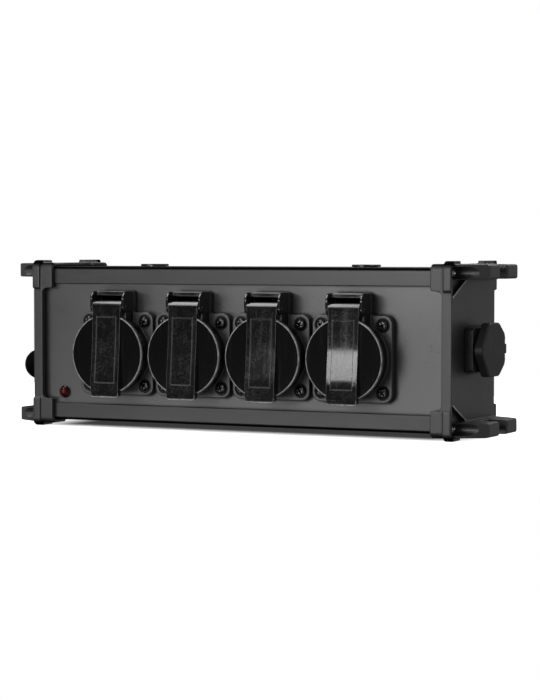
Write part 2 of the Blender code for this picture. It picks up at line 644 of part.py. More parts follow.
outlet = connector("outlet", OUTLET_Y)
finish(outlet, "outlet_connector", moulded)
cap_r = sealing_cap("outlet_cap", OUTLET_Y)
finish(cap_r, "outlet_cap", rubber, origin=(CAP_OUT + PIVOT_P, OUTLET_Y + PIVOT_DY, 0))
inlet = connector("inlet", INLET_Y)
inlet_m = mirrored(inlet, "inlet_m")
bpy.data.objects.remove(inlet, do_unlink=True)
finish(inlet_m, "inlet_connector", moulded)
cap_l = sealing_cap("inlet_cap", INLET_Y)
cap_lm = mirrored(cap_l, "inlet_cap_m")
bpy.data.objects.remove(cap_l, do_unlink=True)
finish(cap_lm, "inlet_cap", rubber, origin=(-CAP_OUT - PIVOT_P, INLET_Y + PIVOT_DY, 0))

# ---- 8. thermal breaker with its booted reset button, on the left end --------------------
bx = -CAP_OUT
switch = block("breaker", -133.2, -103.0, BREAKER_Y - 7.5, BREAKER_Y + 7.5, BREAKER_Z - 11.0, BREAKER_Z + 11.0)
neck = rod("neck", 6.0, "X", (0, BREAKER_Y, BREAKER_Z), bx - 2.4, -130.0, 18)
finish(join(switch, neck), "breaker_body", moulded)
ring = [(6.3, -0.3), (11.0, -0.3), (11.0, -4.6), (10.4, -5.4), (9.9, -5.4), (9.9, -2.7), (6.3, -2.7), (6.3, -0.3)]
finish(turned("collar", ring, "X", (bx, BREAKER_Y, BREAKER_Z), 20), "breaker_collar", moulded)
n = 4
boot = [(0, -5.0), (BUTTON_R, -5.0), (BUTTON_R, -8.2)]
boot += [
    (BUTTON_R * math.cos(math.pi / 2 * k / n), -8.2 - (BUTTON_TOP - 8.2) * math.sin(math.pi / 2 * k / n))
    for k in range(1, n)
] + [(0, -BUTTON_TOP)]
finish(turned("boot", boot, "X", (bx, BREAKER_Y, BREAKER_Z), 20), "reset_button", rubber,
       origin=(bx, BREAKER_Y, BREAKER_Z))

# ---- 9. inside: terminal block and the through loom --------------------------------------
strip = [(34.0, -45.25), (52.0, -45.25), (52.0, -40.0), (49.0, -40.0), (49.0, -28.0), (37.0, -28.0), (37.0, -40.0),
         (34.0, -40.0)]
block_body = outline("terminals", [strip], "X", -34.0, 34.0)
gates = [block("gate", x - 3.2, x + 3.2, 30.0, 56.0, -36.0, -31.0) for x in (-22.0, 0.0, 22.0)]
finish(cut(block_body, *gates), "terminal_block", grey)

route = [(-117.0, 45.0, 0.0), (-107.0, 46.0, -1.5), (-90.0, 53.0, -9.0), (-60.0, 55.0, -14.0), (-20.0, 55.0, -15.0),
         (20.0, 55.0, -15.0), (60.0, 54.0, -13.0), (88.0, 48.0, -8.0), (106.5, 34.0, -1.5), (117.0, 31.9, 0.0)]


def smooth(points, per):
    """Points on a Catmull-Rom curve through the given ones."""
    pts = [Vector(p) for p in points]
    pts = [pts[0] * 2 - pts[1]] + pts + [pts[-1] * 2 - pts[-2]]
    out = []
    for a, b, c, d in zip(pts, pts[1:], pts[2:], pts[3:]):
        for i in range(per):
            t = i / per
            out.append(0.5 * ((2 * b) + (c - a) * t + (2 * a - 5 * b + 4 * c - d) * t * t
                              + (3 * b - a - 3 * c + d) * t ** 3))
    return out + [pts[-2]]


loom = bpy.data.curves.new("loom", "CURVE")
loom.dimensions = "3D"
loom.bevel_depth = 3.4 * MM
loom.bevel_resolution = 2
loom.use_fill_caps = True
track = smooth(route, 2)
spline = loom.splines.new("POLY")
spline.points.add(len(track) - 1)
for p, co in zip(spline.points, track):
    p.co = (*(co * MM), 1.0)
loom_curve = bpy.data.objects.new("loom", loom)
work.objects.link(loom_curve)
finish(bake(loom_curve), "through_loom", cable)
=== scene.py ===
# Looks of the power splitter box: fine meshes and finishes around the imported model, a pale
# floor, soft studio light and the camera.
# Lengths in the shape code are millimetres in the design frame of the box: X along it, Y depth
# (0 = face of the front channel lip), Z from mid height. PLACE takes them to the model's frame.
import json
import math
import random

import bmesh
import bpy
from mathutils import Matrix, Vector

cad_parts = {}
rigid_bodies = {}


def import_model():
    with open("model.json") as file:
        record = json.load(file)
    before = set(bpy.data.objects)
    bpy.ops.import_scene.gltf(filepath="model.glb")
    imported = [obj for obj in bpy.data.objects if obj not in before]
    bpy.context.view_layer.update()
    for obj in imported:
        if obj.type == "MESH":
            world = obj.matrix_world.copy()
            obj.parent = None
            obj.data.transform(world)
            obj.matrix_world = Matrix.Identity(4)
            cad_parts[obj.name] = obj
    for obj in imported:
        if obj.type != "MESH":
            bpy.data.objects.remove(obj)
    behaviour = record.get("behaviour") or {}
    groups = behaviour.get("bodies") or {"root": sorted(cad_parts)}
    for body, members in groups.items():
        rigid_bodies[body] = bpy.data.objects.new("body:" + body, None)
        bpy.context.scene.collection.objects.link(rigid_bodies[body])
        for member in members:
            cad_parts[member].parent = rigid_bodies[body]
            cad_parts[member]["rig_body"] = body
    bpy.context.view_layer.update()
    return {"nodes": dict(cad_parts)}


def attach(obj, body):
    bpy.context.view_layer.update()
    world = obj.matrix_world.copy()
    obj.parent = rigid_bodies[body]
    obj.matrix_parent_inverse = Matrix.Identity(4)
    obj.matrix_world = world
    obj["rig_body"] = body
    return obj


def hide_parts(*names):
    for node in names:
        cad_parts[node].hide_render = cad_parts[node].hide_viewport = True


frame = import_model()
nodes = frame["nodes"]

MM = 0.001
PLACE = Matrix.Translation((0.0, -0.02555, 0.051))
scene = bpy.context.scene
shop = bpy.data.collections.new("workshop")
scene.collection.children.link(shop)

# ---- camera ------------------------------------------------------------------------------
camera = bpy.data.objects.new("camera", bpy.data.cameras.new("camera"))
scene.collection.objects.link(camera)
camera.location = PLACE @ Vector((0.58346, -1.14329, 0.05741))
camera.rotation_euler = (math.radians(87.357), 0.0, math.radians(26.126))
camera.data.lens = 111.85
camera.data.sensor_width = 36.0
camera.data.sensor_fit = "AUTO"
camera.data.clip_start = 0.05
scene.camera = camera


# ======================= shape helpers (mm) ================================================
def link_mesh(name, mesh):
    obj = bpy.data.objects.new(name, mesh)
    shop.objects.link(obj)
    return obj


def bake(obj, weld=1e-6):
    """An object's evaluated mesh as a new plain object."""
    bpy.context.view_layer.update()
    deps = bpy.context.evaluated_depsgraph_get()
    mesh = bpy.data.meshes.new_from_object(obj.evaluated_get(deps))
    mesh.transform(obj.matrix_world)
    name = obj.name
    bpy.data.objects.remove(obj, do_unlink=True)
    if weld:
        bm = bmesh.new()
        bm.from_mesh(mesh)
        bmesh.ops.remove_doubles(bm, verts=bm.verts, dist=weld)
        bmesh.ops.recalc_face_normals(bm, faces=bm.faces)
        bm.to_mesh(mesh)
        bm.free()
    return link_mesh(name, mesh)


def axis_matrix(axis):
    if axis == "X":
        return Matrix(((0, 0, 1, 0), (1, 0, 0, 0), (0, 1, 0, 0), (0, 0, 0, 1)))
    if axis == "Y":
        return Matrix(((0, 1, 0, 0), (0, 0, 1, 0), (1, 0, 0, 0), (0, 0, 0, 1)))
    return Matrix.Identity(4)


def outline(name, loops, axis, lo, hi):
    """A flat outline with depth. Points are (y, z) for axis X, (z, x) for Y, (x, y) for Z."""
    curve = bpy.data.curves.new(name, "CURVE")
    curve.dimensions = "2D"
    curve.fill_mode = "BOTH"
    curve.extrude = (hi - lo) / 2 * MM
    for pts in loops:
        spline = curve.splines.new("POLY")
        spline.points.add(len(pts) - 1)
        for p, (u, v) in zip(spline.points, pts):
            p.co = (u * MM, v * MM, 0.0, 1.0)
        spline.use_cyclic_u = True
    obj = bpy.data.objects.new(name, curve)
    shop.objects.link(obj)
    obj.matrix_world = axis_matrix(axis) @ Matrix.Translation((0, 0, (lo + hi) / 2 * MM))
    return bake(obj)


def turned(name, profile, axis, at, steps=64):
    """A turned piece; profile holds (radius, height) from the high end down the outer side."""
    mesh = bpy.data.meshes.new(name)
    bm = bmesh.new()
    verts = [bm.verts.new((r * MM, 0.0, h * MM)) for r, h in profile]
    for a, b in zip(verts, verts[1:]):
        bm.edges.new((a, b))
    bm.to_mesh(mesh)
    bm.free()
    obj = link_mesh(name, mesh)
    screw = obj.modifiers.new("turn", "SCREW")
    screw.axis = "Z"
    screw.angle = math.tau
    screw.steps = screw.render_steps = steps
    screw.use_merge_vertices = True
    screw.merge_threshold = 0.00001
    obj.matrix_world = Matrix.Translation(Vector(at) * MM) @ axis_matrix(axis)
    return bake(obj)


def rod(name, r, axis, at, lo, hi, steps=48):
    return turned(name, [(0, hi), (r, hi), (r, lo), (0, lo)], axis, at, steps)


def block(name, x0, x1, y0, y1, z0, z1):
    mesh = bpy.data.meshes.new(name)
    bm = bmesh.new()
    size = Matrix.Diagonal(((x1 - x0) * MM, (y1 - y0) * MM, (z1 - z0) * MM, 1.0))
    place = Matrix.Translation(((x0 + x1) / 2 * MM, (y0 + y1) / 2 * MM, (z0 + z1) / 2 * MM))
    bmesh.ops.create_cube(bm, size=1.0, matrix=place @ size)
    bm.to_mesh(mesh)
    bm.free()
    return link_mesh(name, mesh)


def loft(name, loops):
    """A closed skin through flat loops of (x, y, z) points, each with the same number of points."""
    mesh = bpy.data.meshes.new(name)
    bm = bmesh.new()
    rows = [[bm.verts.new([c * MM for c in p]) for p in loop] for loop in loops]
    n = len(loops[0])
    for a, b in zip(rows, rows[1:]):
        for k in range(n):
            bm.faces.new((a[k], a[(k + 1) % n], b[(k + 1) % n], b[k]))
    bm.faces.new(rows[0][::-1])
    bm.faces.new(rows[-1])
    bmesh.ops.recalc_face_normals(bm, faces=bm.faces)
    bm.to_mesh(mesh)
    bm.free()
    return link_mesh(name, mesh)


def bead(name, points, r):
    """A thin round bead through (x, y, z) points."""
    curve = bpy.data.curves.new(name, "CURVE")
    curve.dimensions = "3D"
    curve.bevel_depth = r * MM
    curve.bevel_resolution = 3
    curve.use_fill_caps = True
    spline = curve.splines.new("POLY")
    spline.points.add(len(points) - 1)
    for p, co in zip(spline.points, points):
        p.co = (*[c * MM for c in co], 1.0)
    obj = bpy.data.objects.new(name, curve)
    shop.objects.link(obj)
    return bake(obj)


def combine(obj, others, how):
    name = obj.name
    for i, other in enumerate(others):
        mod = obj.modifiers.new(f"{how.lower()}_{i}", "BOOLEAN")
        mod.operation = how
        mod.solver = "EXACT"
        mod.object = other
    out = bake(obj)
    for other in others:
        bpy.data.objects.remove(other, do_unlink=True)
    out.name = name
    return out


def join(obj, *others):
    return combine(obj, others, "UNION")


def cut(obj, *others):
    return combine(obj, others, "DIFFERENCE")


def common(obj, other):
    return combine(obj, [other], "INTERSECT")


def mirrored(obj, name, axis=0):
    mesh = obj.data.copy()
    scale = [1.0, 1.0, 1.0]
    scale[axis] = -1.0
    mesh.transform(Matrix.Diagonal((*scale, 1.0)))
    mesh.flip_normals()
    return link_mesh(name, mesh)


def arc(cx, cy, r, a0, a1, n):
    return [
        (cx + r * math.cos(math.radians(a0 + (a1 - a0) * i / n)),
         cy + r * math.sin(math.radians(a0 + (a1 - a0) * i / n)))
        for i in range(n + 1)
    ]


def circle(cx, cy, r, n=64):
    return [(cx + r * math.cos(math.tau * i / n), cy + r * math.sin(math.tau * i / n)) for i in range(n)]


def round_rect(u0, u1, v0, v1, r, n=8):
    return (arc(u1 - r, v1 - r, r, 0, 90, n) + arc(u0 + r, v1 - r, r, 90, 180, n)
            + arc(u0 + r, v0 + r, r, 180, 270, n) + arc(u1 - r, v0 + r, r, 270, 360, n))


def rounded(corners, r, n):
    """A closed outline with every corner rounded to radius r."""
    out = []
    for i, b in enumerate(corners):
        a, c = corners[i - 1], corners[(i + 1) % len(corners)]
        u, v, b = (Vector(a) - Vector(b)).normalized(), (Vector(c) - Vector(b)).normalized(), Vector(b)
        half = u.angle(v) / 2
        mid = b + (u + v).normalized() * (r / math.sin(half))
        a0 = math.degrees(math.atan2(*((b + u * (r / math.tan(half))) - mid).yx))
        out += arc(mid.x, mid.y, r, a0, a0 + 180 - math.degrees(2 * half), n)
    return out


def soften(obj, voxel, rounds=4, ratio=0.3):
    """Rounds every edge of a moulded piece a little, as its tool does: an even fine mesh,
    smoothed, then thinned where it is flat."""
    m = obj.modifiers.new("remesh", "REMESH")
    m.mode = "VOXEL"
    m.voxel_size = voxel * MM
    m.use_smooth_shade = True
    s = obj.modifiers.new("smooth", "SMOOTH")
    s.factor = 0.5
    s.iterations = rounds
    d = obj.modifiers.new("thin", "DECIMATE")
    d.ratio = ratio
    obj = bake(obj, weld=0)
    obj.data.shade_smooth()
    return obj


def bevelled(obj, width, segments=3, angle=32):
    b = obj.modifiers.new("bevel", "BEVEL")
    b.width = width * MM
    b.segments = segments
    b.limit_method = "ANGLE"
    b.angle_limit = math.radians(angle)
    b.use_clamp_overlap = True
    obj = bake(obj)
    obj.data.shade_smooth()
    return obj


def weighted(obj):
    """Large flat faces keep their own normals next to small round ones."""
    w = obj.modifiers.new("normals", "WEIGHTED_NORMAL")
    w.mode = "FACE_AREA"
    w.weight = 100
    w.keep_sharp = True
    return obj


def dress(obj, name, mat, body, stands_for=(), move=None, spin=None, angle=None):
    """Name, finish and body of a finished piece; its place goes into its mesh."""
    if spin is not None:
        obj.data.transform(spin)
    if move is not None:
        obj.data.transform(Matrix.Translation(Vector(move) * MM))
    obj.data.transform(PLACE)
    obj.name = name
    obj.data.name = name
    obj.data.materials.clear()
    obj.data.materials.append(mat)
    if angle is not None:
        obj.data.shade_smooth()
        obj.data.set_sharp_from_angle(angle=math.radians(angle))
    weighted(obj)
    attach(obj, body)
    if stands_for:
        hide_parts(*stands_for)
    return obj


def copy_mesh(obj, name):
    return link_mesh(name, obj.data.copy())


# ======================= materials =========================================================
class Graph:
    """A small helper for building a node tree."""

    def __init__(self, name):
        self.mat = bpy.data.materials.new(name)
        self.mat.use_nodes = True
        self.tree = self.mat.node_tree
        self.bsdf = self.tree.nodes["Principled BSDF"]
        self.coord = self.node("ShaderNodeTexCoord").outputs["Object"]

    def node(self, kind, **values):
        n = self.tree.nodes.new(kind)
        for k, v in values.items():
            setattr(n, k, v)
        return n

    def link(self, a, b):
        self.tree.links.new(a, b)

    def noise(self, scale, detail=3.0, rough=0.55, stretch=None, distort=0.0):
        n = self.node("ShaderNodeTexNoise")
        n.inputs["Scale"].default_value = scale
        n.inputs["Detail"].default_value = detail
        n.inputs["Roughness"].default_value = rough
        n.inputs["Distortion"].default_value = distort
        if stretch:
            m = self.node("ShaderNodeMapping")
            m.inputs["Scale"].default_value = stretch
            self.link(self.coord, m.inputs["Vector"])
            self.link(m.outputs["Vector"], n.inputs["Vector"])
        else:
            self.link(self.coord, n.inputs["Vector"])
        return n.outputs["Fac"]

    def voronoi(self, scale, feature="F1"):
        n = self.node("ShaderNodeTexVoronoi", feature=feature)
        n.inputs["Scale"].default_value = scale
        self.link(self.coord, n.inputs["Vector"])
        return n.outputs["Distance"]

    def remap(self, value, lo, hi, to_lo, to_hi):
        n = self.node("ShaderNodeMapRange")
        n.inputs["From Min"].default_value = lo
        n.inputs["From Max"].default_value = hi
        n.inputs["To Min"].default_value = to_lo
        n.inputs["To Max"].default_value = to_hi
        self.link(value, n.inputs["Value"])
        return n.outputs["Result"]

    def math(self, op, a, b):
        n = self.node("ShaderNodeMath", operation=op)
        for i, v in enumerate((a, b)):
            if isinstance(v, (int, float)):
                n.inputs[i].default_value = v
            else:
                self.link(v, n.inputs[i])
        return n.outputs[0]

    def shade(self, colour, factor):
        """colour times a grey factor socket"""
        n = self.node("ShaderNodeVectorMath", operation="SCALE")
        if isinstance(colour, tuple):
            n.inputs[0].default_value = colour
        else:
            self.link(colour, n.inputs[0])
        self.link(factor, n.inputs["Scale"])
        return n.outputs["Vector"]

    def mix(self, factor, a, b):
        n = self.node("ShaderNodeMix", data_type="RGBA")
        self.link(factor, n.inputs[0])
        for i, v in ((6, a), (7, b)):
            if isinstance(v, tuple):
                n.inputs[i].default_value = (*v, 1.0)
            else:
                self.link(v, n.inputs[i])
        return n.outputs[2]

    def edges(self, radius, lo=0.02, hi=0.25):
        """1 on outer and inner edges, from a rounded normal compared with the true one."""
        b = self.node("ShaderNodeBevel", samples=4)
        b.inputs["Radius"].default_value = radius
        g = self.node("ShaderNodeNewGeometry")
        d = self.node("ShaderNodeVectorMath", operation="DOT_PRODUCT")
        self.link(b.outputs["Normal"], d.inputs[0])
        self.link(g.outputs["Normal"], d.inputs[1])
        return self.remap(self.math("SUBTRACT", 1.0, d.outputs["Value"]), lo, hi, 0.0, 1.0)

    def painted_crevice_shade(self, reach, lo=0.35, hi=0.85):
        """Mask for painted shade: 1 deep in seams and inner corners, 0 in the open."""
        n = self.node("ShaderNodeAmbientOcclusion", samples=6, only_local=False)
        n.inputs["Distance"].default_value = reach
        return self.remap(n.outputs["AO"], lo, hi, 1.0, 0.0)

    def corners(self, colour, rough, spans, dark):
        """Painted shade on the long rounded corners: blacker, rougher and metallic there; spans = (z0, z1, y0, y1) from
        the middle.
        """
        axes = self.node("ShaderNodeSeparateXYZ")
        self.link(self.coord, axes.inputs["Vector"])
        far = self.math("ABSOLUTE", self.math("SUBTRACT", axes.outputs["Z"], 0.051), 0.0)
        side = self.math("ABSOLUTE", self.math("SUBTRACT", axes.outputs["Y"], 0.0069), 0.0)
        turn = self.math("MULTIPLY", self.remap(far, spans[0], spans[1], 0.0, 1.0),
                         self.remap(side, spans[2], spans[3], 0.0, 1.0))
        self.link(turn, self.bsdf.inputs["Metallic"])
        return self.mix(turn, colour, dark), self.math("ADD", rough, self.remap(turn, 0.0, 1.0, 0.0, 0.5))

    def bump(self, height, distance, strength=1.0, normal=None):
        b = self.node("ShaderNodeBump")
        b.inputs["Strength"].default_value = strength
        b.inputs["Distance"].default_value = distance
        self.link(height, b.inputs["Height"])
        if normal is not None:
            self.link(normal, b.inputs["Normal"])
        return b.outputs["Normal"]

    def out(self, colour=None, rough=None, normal=None, **plain):
        for name, value in (("Base Color", colour), ("Roughness", rough), ("Normal", normal)):
            if value is None:
                continue
            if isinstance(value, (int, float)):
                self.bsdf.inputs[name].default_value = value
            elif isinstance(value, tuple):
                self.bsdf.inputs[name].default_value = (*value, 1.0)
            else:
                self.link(value, self.bsdf.inputs[name])
        for name, value in plain.items():
            self.bsdf.inputs[name.replace("_", " ")].default_value = value
        return self.mat


def spark_plastic(name, base, rough, grain=2600.0, depth=0.00003, wear=0.35, gloss=0.5, corner=None):
    """Moulded plastic with a spark-eroded surface, faint clouding and paler rubbed edges; seams, inner corners and,
    where spans are given, the long rounded corners get painted shade.
    """
    g = Graph(name)
    fine = g.noise(grain, 2.0, 0.6)
    mid = g.noise(900.0, 3.0, 0.6)
    cloud = g.noise(38.0, 4.0, 0.6)
    factor = g.math("ADD", g.remap(cloud, 0.3, 0.7, 0.93, 1.07), g.remap(fine, 0.35, 0.65, -0.05, 0.05))
    colour = g.shade(base, factor)
    pale = tuple(min(1.0, c * 2.2 + 0.012) for c in base)
    worn = g.math("MULTIPLY", g.edges(0.0005), g.remap(g.noise(160.0, 4.0, 0.7), 0.35, 0.7, 0.1, 1.0))
    colour = g.mix(g.math("MULTIPLY", worn, wear), colour, pale)
    r = g.math("ADD", g.remap(mid, 0.3, 0.7, rough - 0.05, rough + 0.05), g.remap(cloud, 0.3, 0.7, -0.03, 0.03))
    # painted shade: colour darkened and roughened in seams and inner corners
    seam_shade = g.painted_crevice_shade(0.002, 0.42, 0.92)
    colour = g.mix(seam_shade, colour, tuple(c * 0.1 for c in base))
    r = g.math("ADD", r, g.remap(seam_shade, 0.0, 1.0, 0.0, 0.5))
    # painted shade on the long rounded corners
    if corner:
        colour, r = g.corners(colour, r, corner, tuple(c * 0.15 for c in base))
    n = g.bump(fine, depth, 0.8)
    n = g.bump(mid, depth * 2.0, 0.5, n)
    return g.out(colour, r, n, Specular_IOR_Level=gloss)


def coated_aluminium(name, base, rough, along=(1.0, 1.0, 1.0), wear=0.25, metallic=0.0, spec=0.5, corner=None):
    """Dark coated aluminium: fine orange peel, drawn grain along the extrusion, soft mottling.
    The long rounded corners get painted shade: blacker, rougher and metallic, so they reflect almost nothing."""
    g = Graph(name)
    grain = g.noise(1500.0, 3.0, 0.6, stretch=along)
    peel = g.noise(1100.0, 2.0, 0.5)
    cloud = g.noise(22.0, 5.0, 0.6)
    specks = g.voronoi(1300.0)
    factor = g.math("ADD", g.remap(cloud, 0.3, 0.7, 0.94, 1.06), g.remap(grain, 0.35, 0.65, -0.045, 0.045))
    factor = g.math("ADD", factor, g.remap(specks, 0.0, 0.6, -0.015, 0.015))
    colour = g.shade(base, factor)
    pale = tuple(min(1.0, c * 2.0 + 0.02) for c in base)
    worn = g.math("MULTIPLY", g.edges(0.0004), g.remap(g.noise(120.0, 4.0, 0.7), 0.4, 0.7, 0.05, 1.0))
    colour = g.mix(g.math("MULTIPLY", worn, wear), colour, pale)
    r = g.math("ADD", g.remap(grain, 0.3, 0.7, rough - 0.05, rough + 0.05), g.remap(cloud, 0.3, 0.7, -0.04, 0.04))
    # painted shade: colour darkened and roughened in seams and inner corners
    seam_shade = g.painted_crevice_shade(0.002, 0.42, 0.92)
    colour = g.mix(seam_shade, colour, tuple(c * 0.1 for c in base))
    r = g.math("ADD", r, g.remap(seam_shade, 0.0, 1.0, 0.0, 0.5))
    # painted shade on the long rounded corners
    if corner:
        colour, r = g.corners(colour, r, corner, tuple(c * 0.12 for c in base))
    n = g.bump(peel, 0.00001, 0.5)
    n = g.bump(grain, 0.00001, 0.4, n)
    return g.out(colour, r, n, Metallic=metallic, Specular_IOR_Level=spec)


def gloss_plastic(name, base, rough, depth=0.000006, reach=0.0003, rub_and_highlight=0.5, scuff=0.0):
    """Polished black moulding; its edges are painted paler, partly as rubbing wear and partly as painted highlight
    lines.
    """
    g = Graph(name)
    wave = g.noise(60.0, 2.0, 0.5)
    fine = g.noise(1800.0, 3.0, 0.6)
    hair = g.noise(420.0, 2.0, 0.5, stretch=(1.0, 1.0, 0.05))
    r = g.math("ADD", g.remap(fine, 0.35, 0.7, rough, rough + 0.08), g.remap(hair, 0.55, 0.75, 0.0, 0.06))
    colour = g.shade(base, g.remap(fine, 0.3, 0.7, 0.8, 1.25))
    if scuff:
        marks = g.math("MULTIPLY", g.remap(g.noise(950.0, 6.0, 0.8), 0.46, 0.72, 0.0, scuff),
                       g.remap(g.noise(150.0, 3.0, 0.6), 0.35, 0.62, 0.15, 1.0))
        colour = g.mix(marks, colour, (0.075, 0.075, 0.077))
        r = g.math("ADD", r, g.remap(marks, 0.0, 1.0, 0.0, 0.12))
    # paler edges: rubbing wear, and painted highlight lines along the lid and strip edges
    colour = g.mix(g.math("MULTIPLY", g.edges(reach, 0.012, 0.09), rub_and_highlight), colour, (0.30, 0.30, 0.304))
    n = g.bump(wave, depth * 8.0, 0.25)
    n = g.bump(fine, depth, 0.5, n)
    return g.out(colour, r, n)


def painted_highlight_edge(name, base, rough, lo=0.4, hi=1.3):
    """A fine edge painted pale, unevenly: a painted highlight."""
    g = Graph(name)
    colour = g.shade(base, g.remap(g.noise(240.0, 4.0, 0.7), 0.35, 0.65, lo, hi))
    fine = g.noise(1500.0, 3.0, 0.6)
    return g.out(colour, g.remap(fine, 0.3, 0.7, rough - 0.05, rough + 0.1), g.bump(fine, 0.00001, 0.4))


def soft_rubber(name, base, rough=0.62, spec=0.5):
    g = Graph(name)
    fine = g.noise(2300.0, 3.0, 0.65)
    cloud = g.noise(90.0, 4.0, 0.6)
    colour = g.shade(base, g.math("ADD", g.remap(cloud, 0.3, 0.7, 0.85, 1.2), g.remap(fine, 0.35, 0.65, -0.08, 0.08)))
    dust = g.math("MULTIPLY", g.remap(g.noise(300.0, 5.0, 0.7), 0.5, 0.8, 0.0, 0.35), 1.0)
    colour = g.mix(dust, colour, tuple(c * 2.2 + 0.0005 for c in base))
    n = g.bump(fine, 0.00003, 0.6)
    return g.out(colour, g.remap(cloud, 0.3, 0.7, rough - 0.06, rough + 0.08), n, Specular_IOR_Level=spec)


def dark_steel(name, base=(0.045, 0.045, 0.047), rough=0.22, metallic=1.0):
    g = Graph(name)
    fine = g.noise(1500.0, 3.0, 0.6)
    ring = g.noise(500.0, 3.0, 0.6)
    colour = g.shade(base, g.remap(ring, 0.3, 0.7, 0.7, 1.5))
    worn = g.math("MULTIPLY", g.edges(0.00025), 0.6)
    colour = g.mix(worn, colour, (0.35, 0.35, 0.36))
    n = g.bump(fine, 0.00002, 0.5)
    return g.out(colour, g.remap(ring, 0.3, 0.7, rough - 0.08, rough + 0.12), n, Metallic=metallic)


def plain_metal(name, base, rough, metallic=1.0):
    g = Graph(name)
    fine = g.noise(900.0, 4.0, 0.6)
    colour = g.shade(base, g.remap(fine, 0.3, 0.7, 0.85, 1.12))
    return g.out(colour, g.remap(fine, 0.3, 0.7, rough - 0.05, rough + 0.08), g.bump(fine, 0.00002, 0.4),
                 Metallic=metallic)


def lens_red(name):
    g = Graph(name)
    streak = g.noise(700.0, 2.0, 0.5)
    colour = g.shade((0.048, 0.0008, 0.0016), g.remap(streak, 0.3, 0.7, 0.75, 1.3))
    return g.out(colour, 0.09, g.bump(g.noise(500.0, 1.0, 0.5), 0.00001, 0.3), Specular_IOR_Level=0.18)


def socket_plastic(name, split):
    """Satin grey moulding behind the plane y = split, smoother and blacker in front of it; hollows get painted shade
    and edges painted highlight lines.
    """
    g = Graph(name)
    axes = g.node("ShaderNodeSeparateXYZ")
    g.link(g.coord, axes.inputs["Vector"])
    front = g.remap(axes.outputs["Y"], split - 0.0001, split + 0.0001, 1.0, 0.0)
    fine = g.noise(2900.0, 2.0, 0.6)
    mid = g.noise(900.0, 3.0, 0.6)
    cloud = g.noise(45.0, 4.0, 0.6)
    factor = g.math("ADD", g.remap(cloud, 0.3, 0.7, 0.94, 1.06), g.remap(fine, 0.35, 0.65, -0.05, 0.05))
    colour = g.shade(g.mix(front, (0.030, 0.030, 0.0305), (0.0045, 0.0045, 0.005)), factor)
    # paler edges: rubbing wear, and painted highlight lines along the hood's edges
    worn = g.math("MULTIPLY", g.edges(0.0004), g.remap(g.noise(170.0, 4.0, 0.7), 0.35, 0.7, 0.05, 0.3))
    colour = g.mix(worn, colour, (0.11, 0.11, 0.112))
    rough = g.math("ADD", g.remap(front, 0.0, 1.0, 0.40, 0.11), g.remap(mid, 0.3, 0.7, -0.04, 0.04))
    # painted shade: near-black and rougher deep in seams and in the hood's hollow
    seam_shade = g.painted_crevice_shade(0.007, 0.4, 0.85)
    colour = g.mix(seam_shade, colour, (0.002, 0.002, 0.002))
    rough = g.math("ADD", rough, g.remap(seam_shade, 0.0, 1.0, 0.0, 0.5))
    n = g.bump(fine, 0.00002, 0.7)
    n = g.bump(mid, 0.00003, 0.4, n)
    return g.out(colour, rough, n, Specular_IOR_Level=0.7)


# the corner spans give the channel's rounded corners painted shade
mat_channel = coated_aluminium("channel_coat", (0.015, 0.015, 0.0155), 0.36, (0.04, 1.0, 1.0), spec=0.6,
                              corner=(0.0450, 0.0459, 0.0302, 0.0308))
mat_panel = coated_aluminium("panel_coat", (0.020, 0.020, 0.0205), 0.33, (1.0, 1.0, 1.0), wear=0.12, spec=1.0)
# the corner spans give the end caps' rounded corners painted shade
mat_cap = spark_plastic("cap_plastic", (0.014, 0.014, 0.0145), 0.40, gloss=0.65,
                        corner=(0.0464, 0.0490, 0.0322, 0.0332))
mat_socket = socket_plastic("socket_plastic", -0.0292)
mat_lid = gloss_plastic("lid_plastic", (0.0022, 0.0022, 0.0025), 0.06, reach=0.0006, rub_and_highlight=0.9)
mat_strip = gloss_plastic("strip_plastic", (0.0036, 0.0036, 0.0040), 0.05, reach=0.00045, rub_and_highlight=0.45, scuff=0.6)
mat_gasket = soft_rubber("gasket_rubber", (0.009, 0.009, 0.009))
mat_cover = soft_rubber("cover_rubber", (0.012, 0.012, 0.0122), 0.55, 0.38)
mat_boot = soft_rubber("boot_rubber", (0.0008, 0.0008, 0.0008), 0.7, 0.03)
mat_conn = spark_plastic("connector_plastic", (0.020, 0.020, 0.0205), 0.42, grain=2800.0, depth=0.00002, wear=0.1)
mat_steel = dark_steel("blackened_steel")
mat_bright = dark_steel("plated_steel", (0.50, 0.50, 0.51), 0.30)
mat_painted_highlight = painted_highlight_edge("rim_painted_highlight", (0.30, 0.30, 0.304), 0.24)
mat_ridge_highlight = painted_highlight_edge("cap_ridge_painted_highlight", (0.48, 0.48, 0.485), 0.28, 0.7, 1.2)
mat_shade_sheet = soft_rubber("hood_shade_sheet", (0.0006, 0.0006, 0.0006), 0.9, 0.0)
mat_nickel = plain_metal("nickel_spring", (0.55, 0.54, 0.5), 0.25)
mat_red = lens_red("pilot_red")
mat_terminal = spark_plastic("terminal_grey", (0.45, 0.45, 0.46), 0.5, wear=0.0)
mat_sheath = soft_rubber("cable_sheath", (0.02, 0.02, 0.02))

# ======================= 1. channel body and panels ========================================
D, H, HALF_L = 64.9, 47.05, 133.4
LIP, GROOVE_Z = 36.75, 38.9
PORT = (3.0, 44.2)
INSERTS = (-72.4, 70.0)
SOCKETS = (-78.96, -27.07, 24.82, 76.70)
SOCKET_Z = -5.24


def flip(pts):
    return [(D - y, z) for y, z in pts][::-1]


def down(loops):
    return [[(y, -z) for y, z in loop][::-1] for loop in loops]


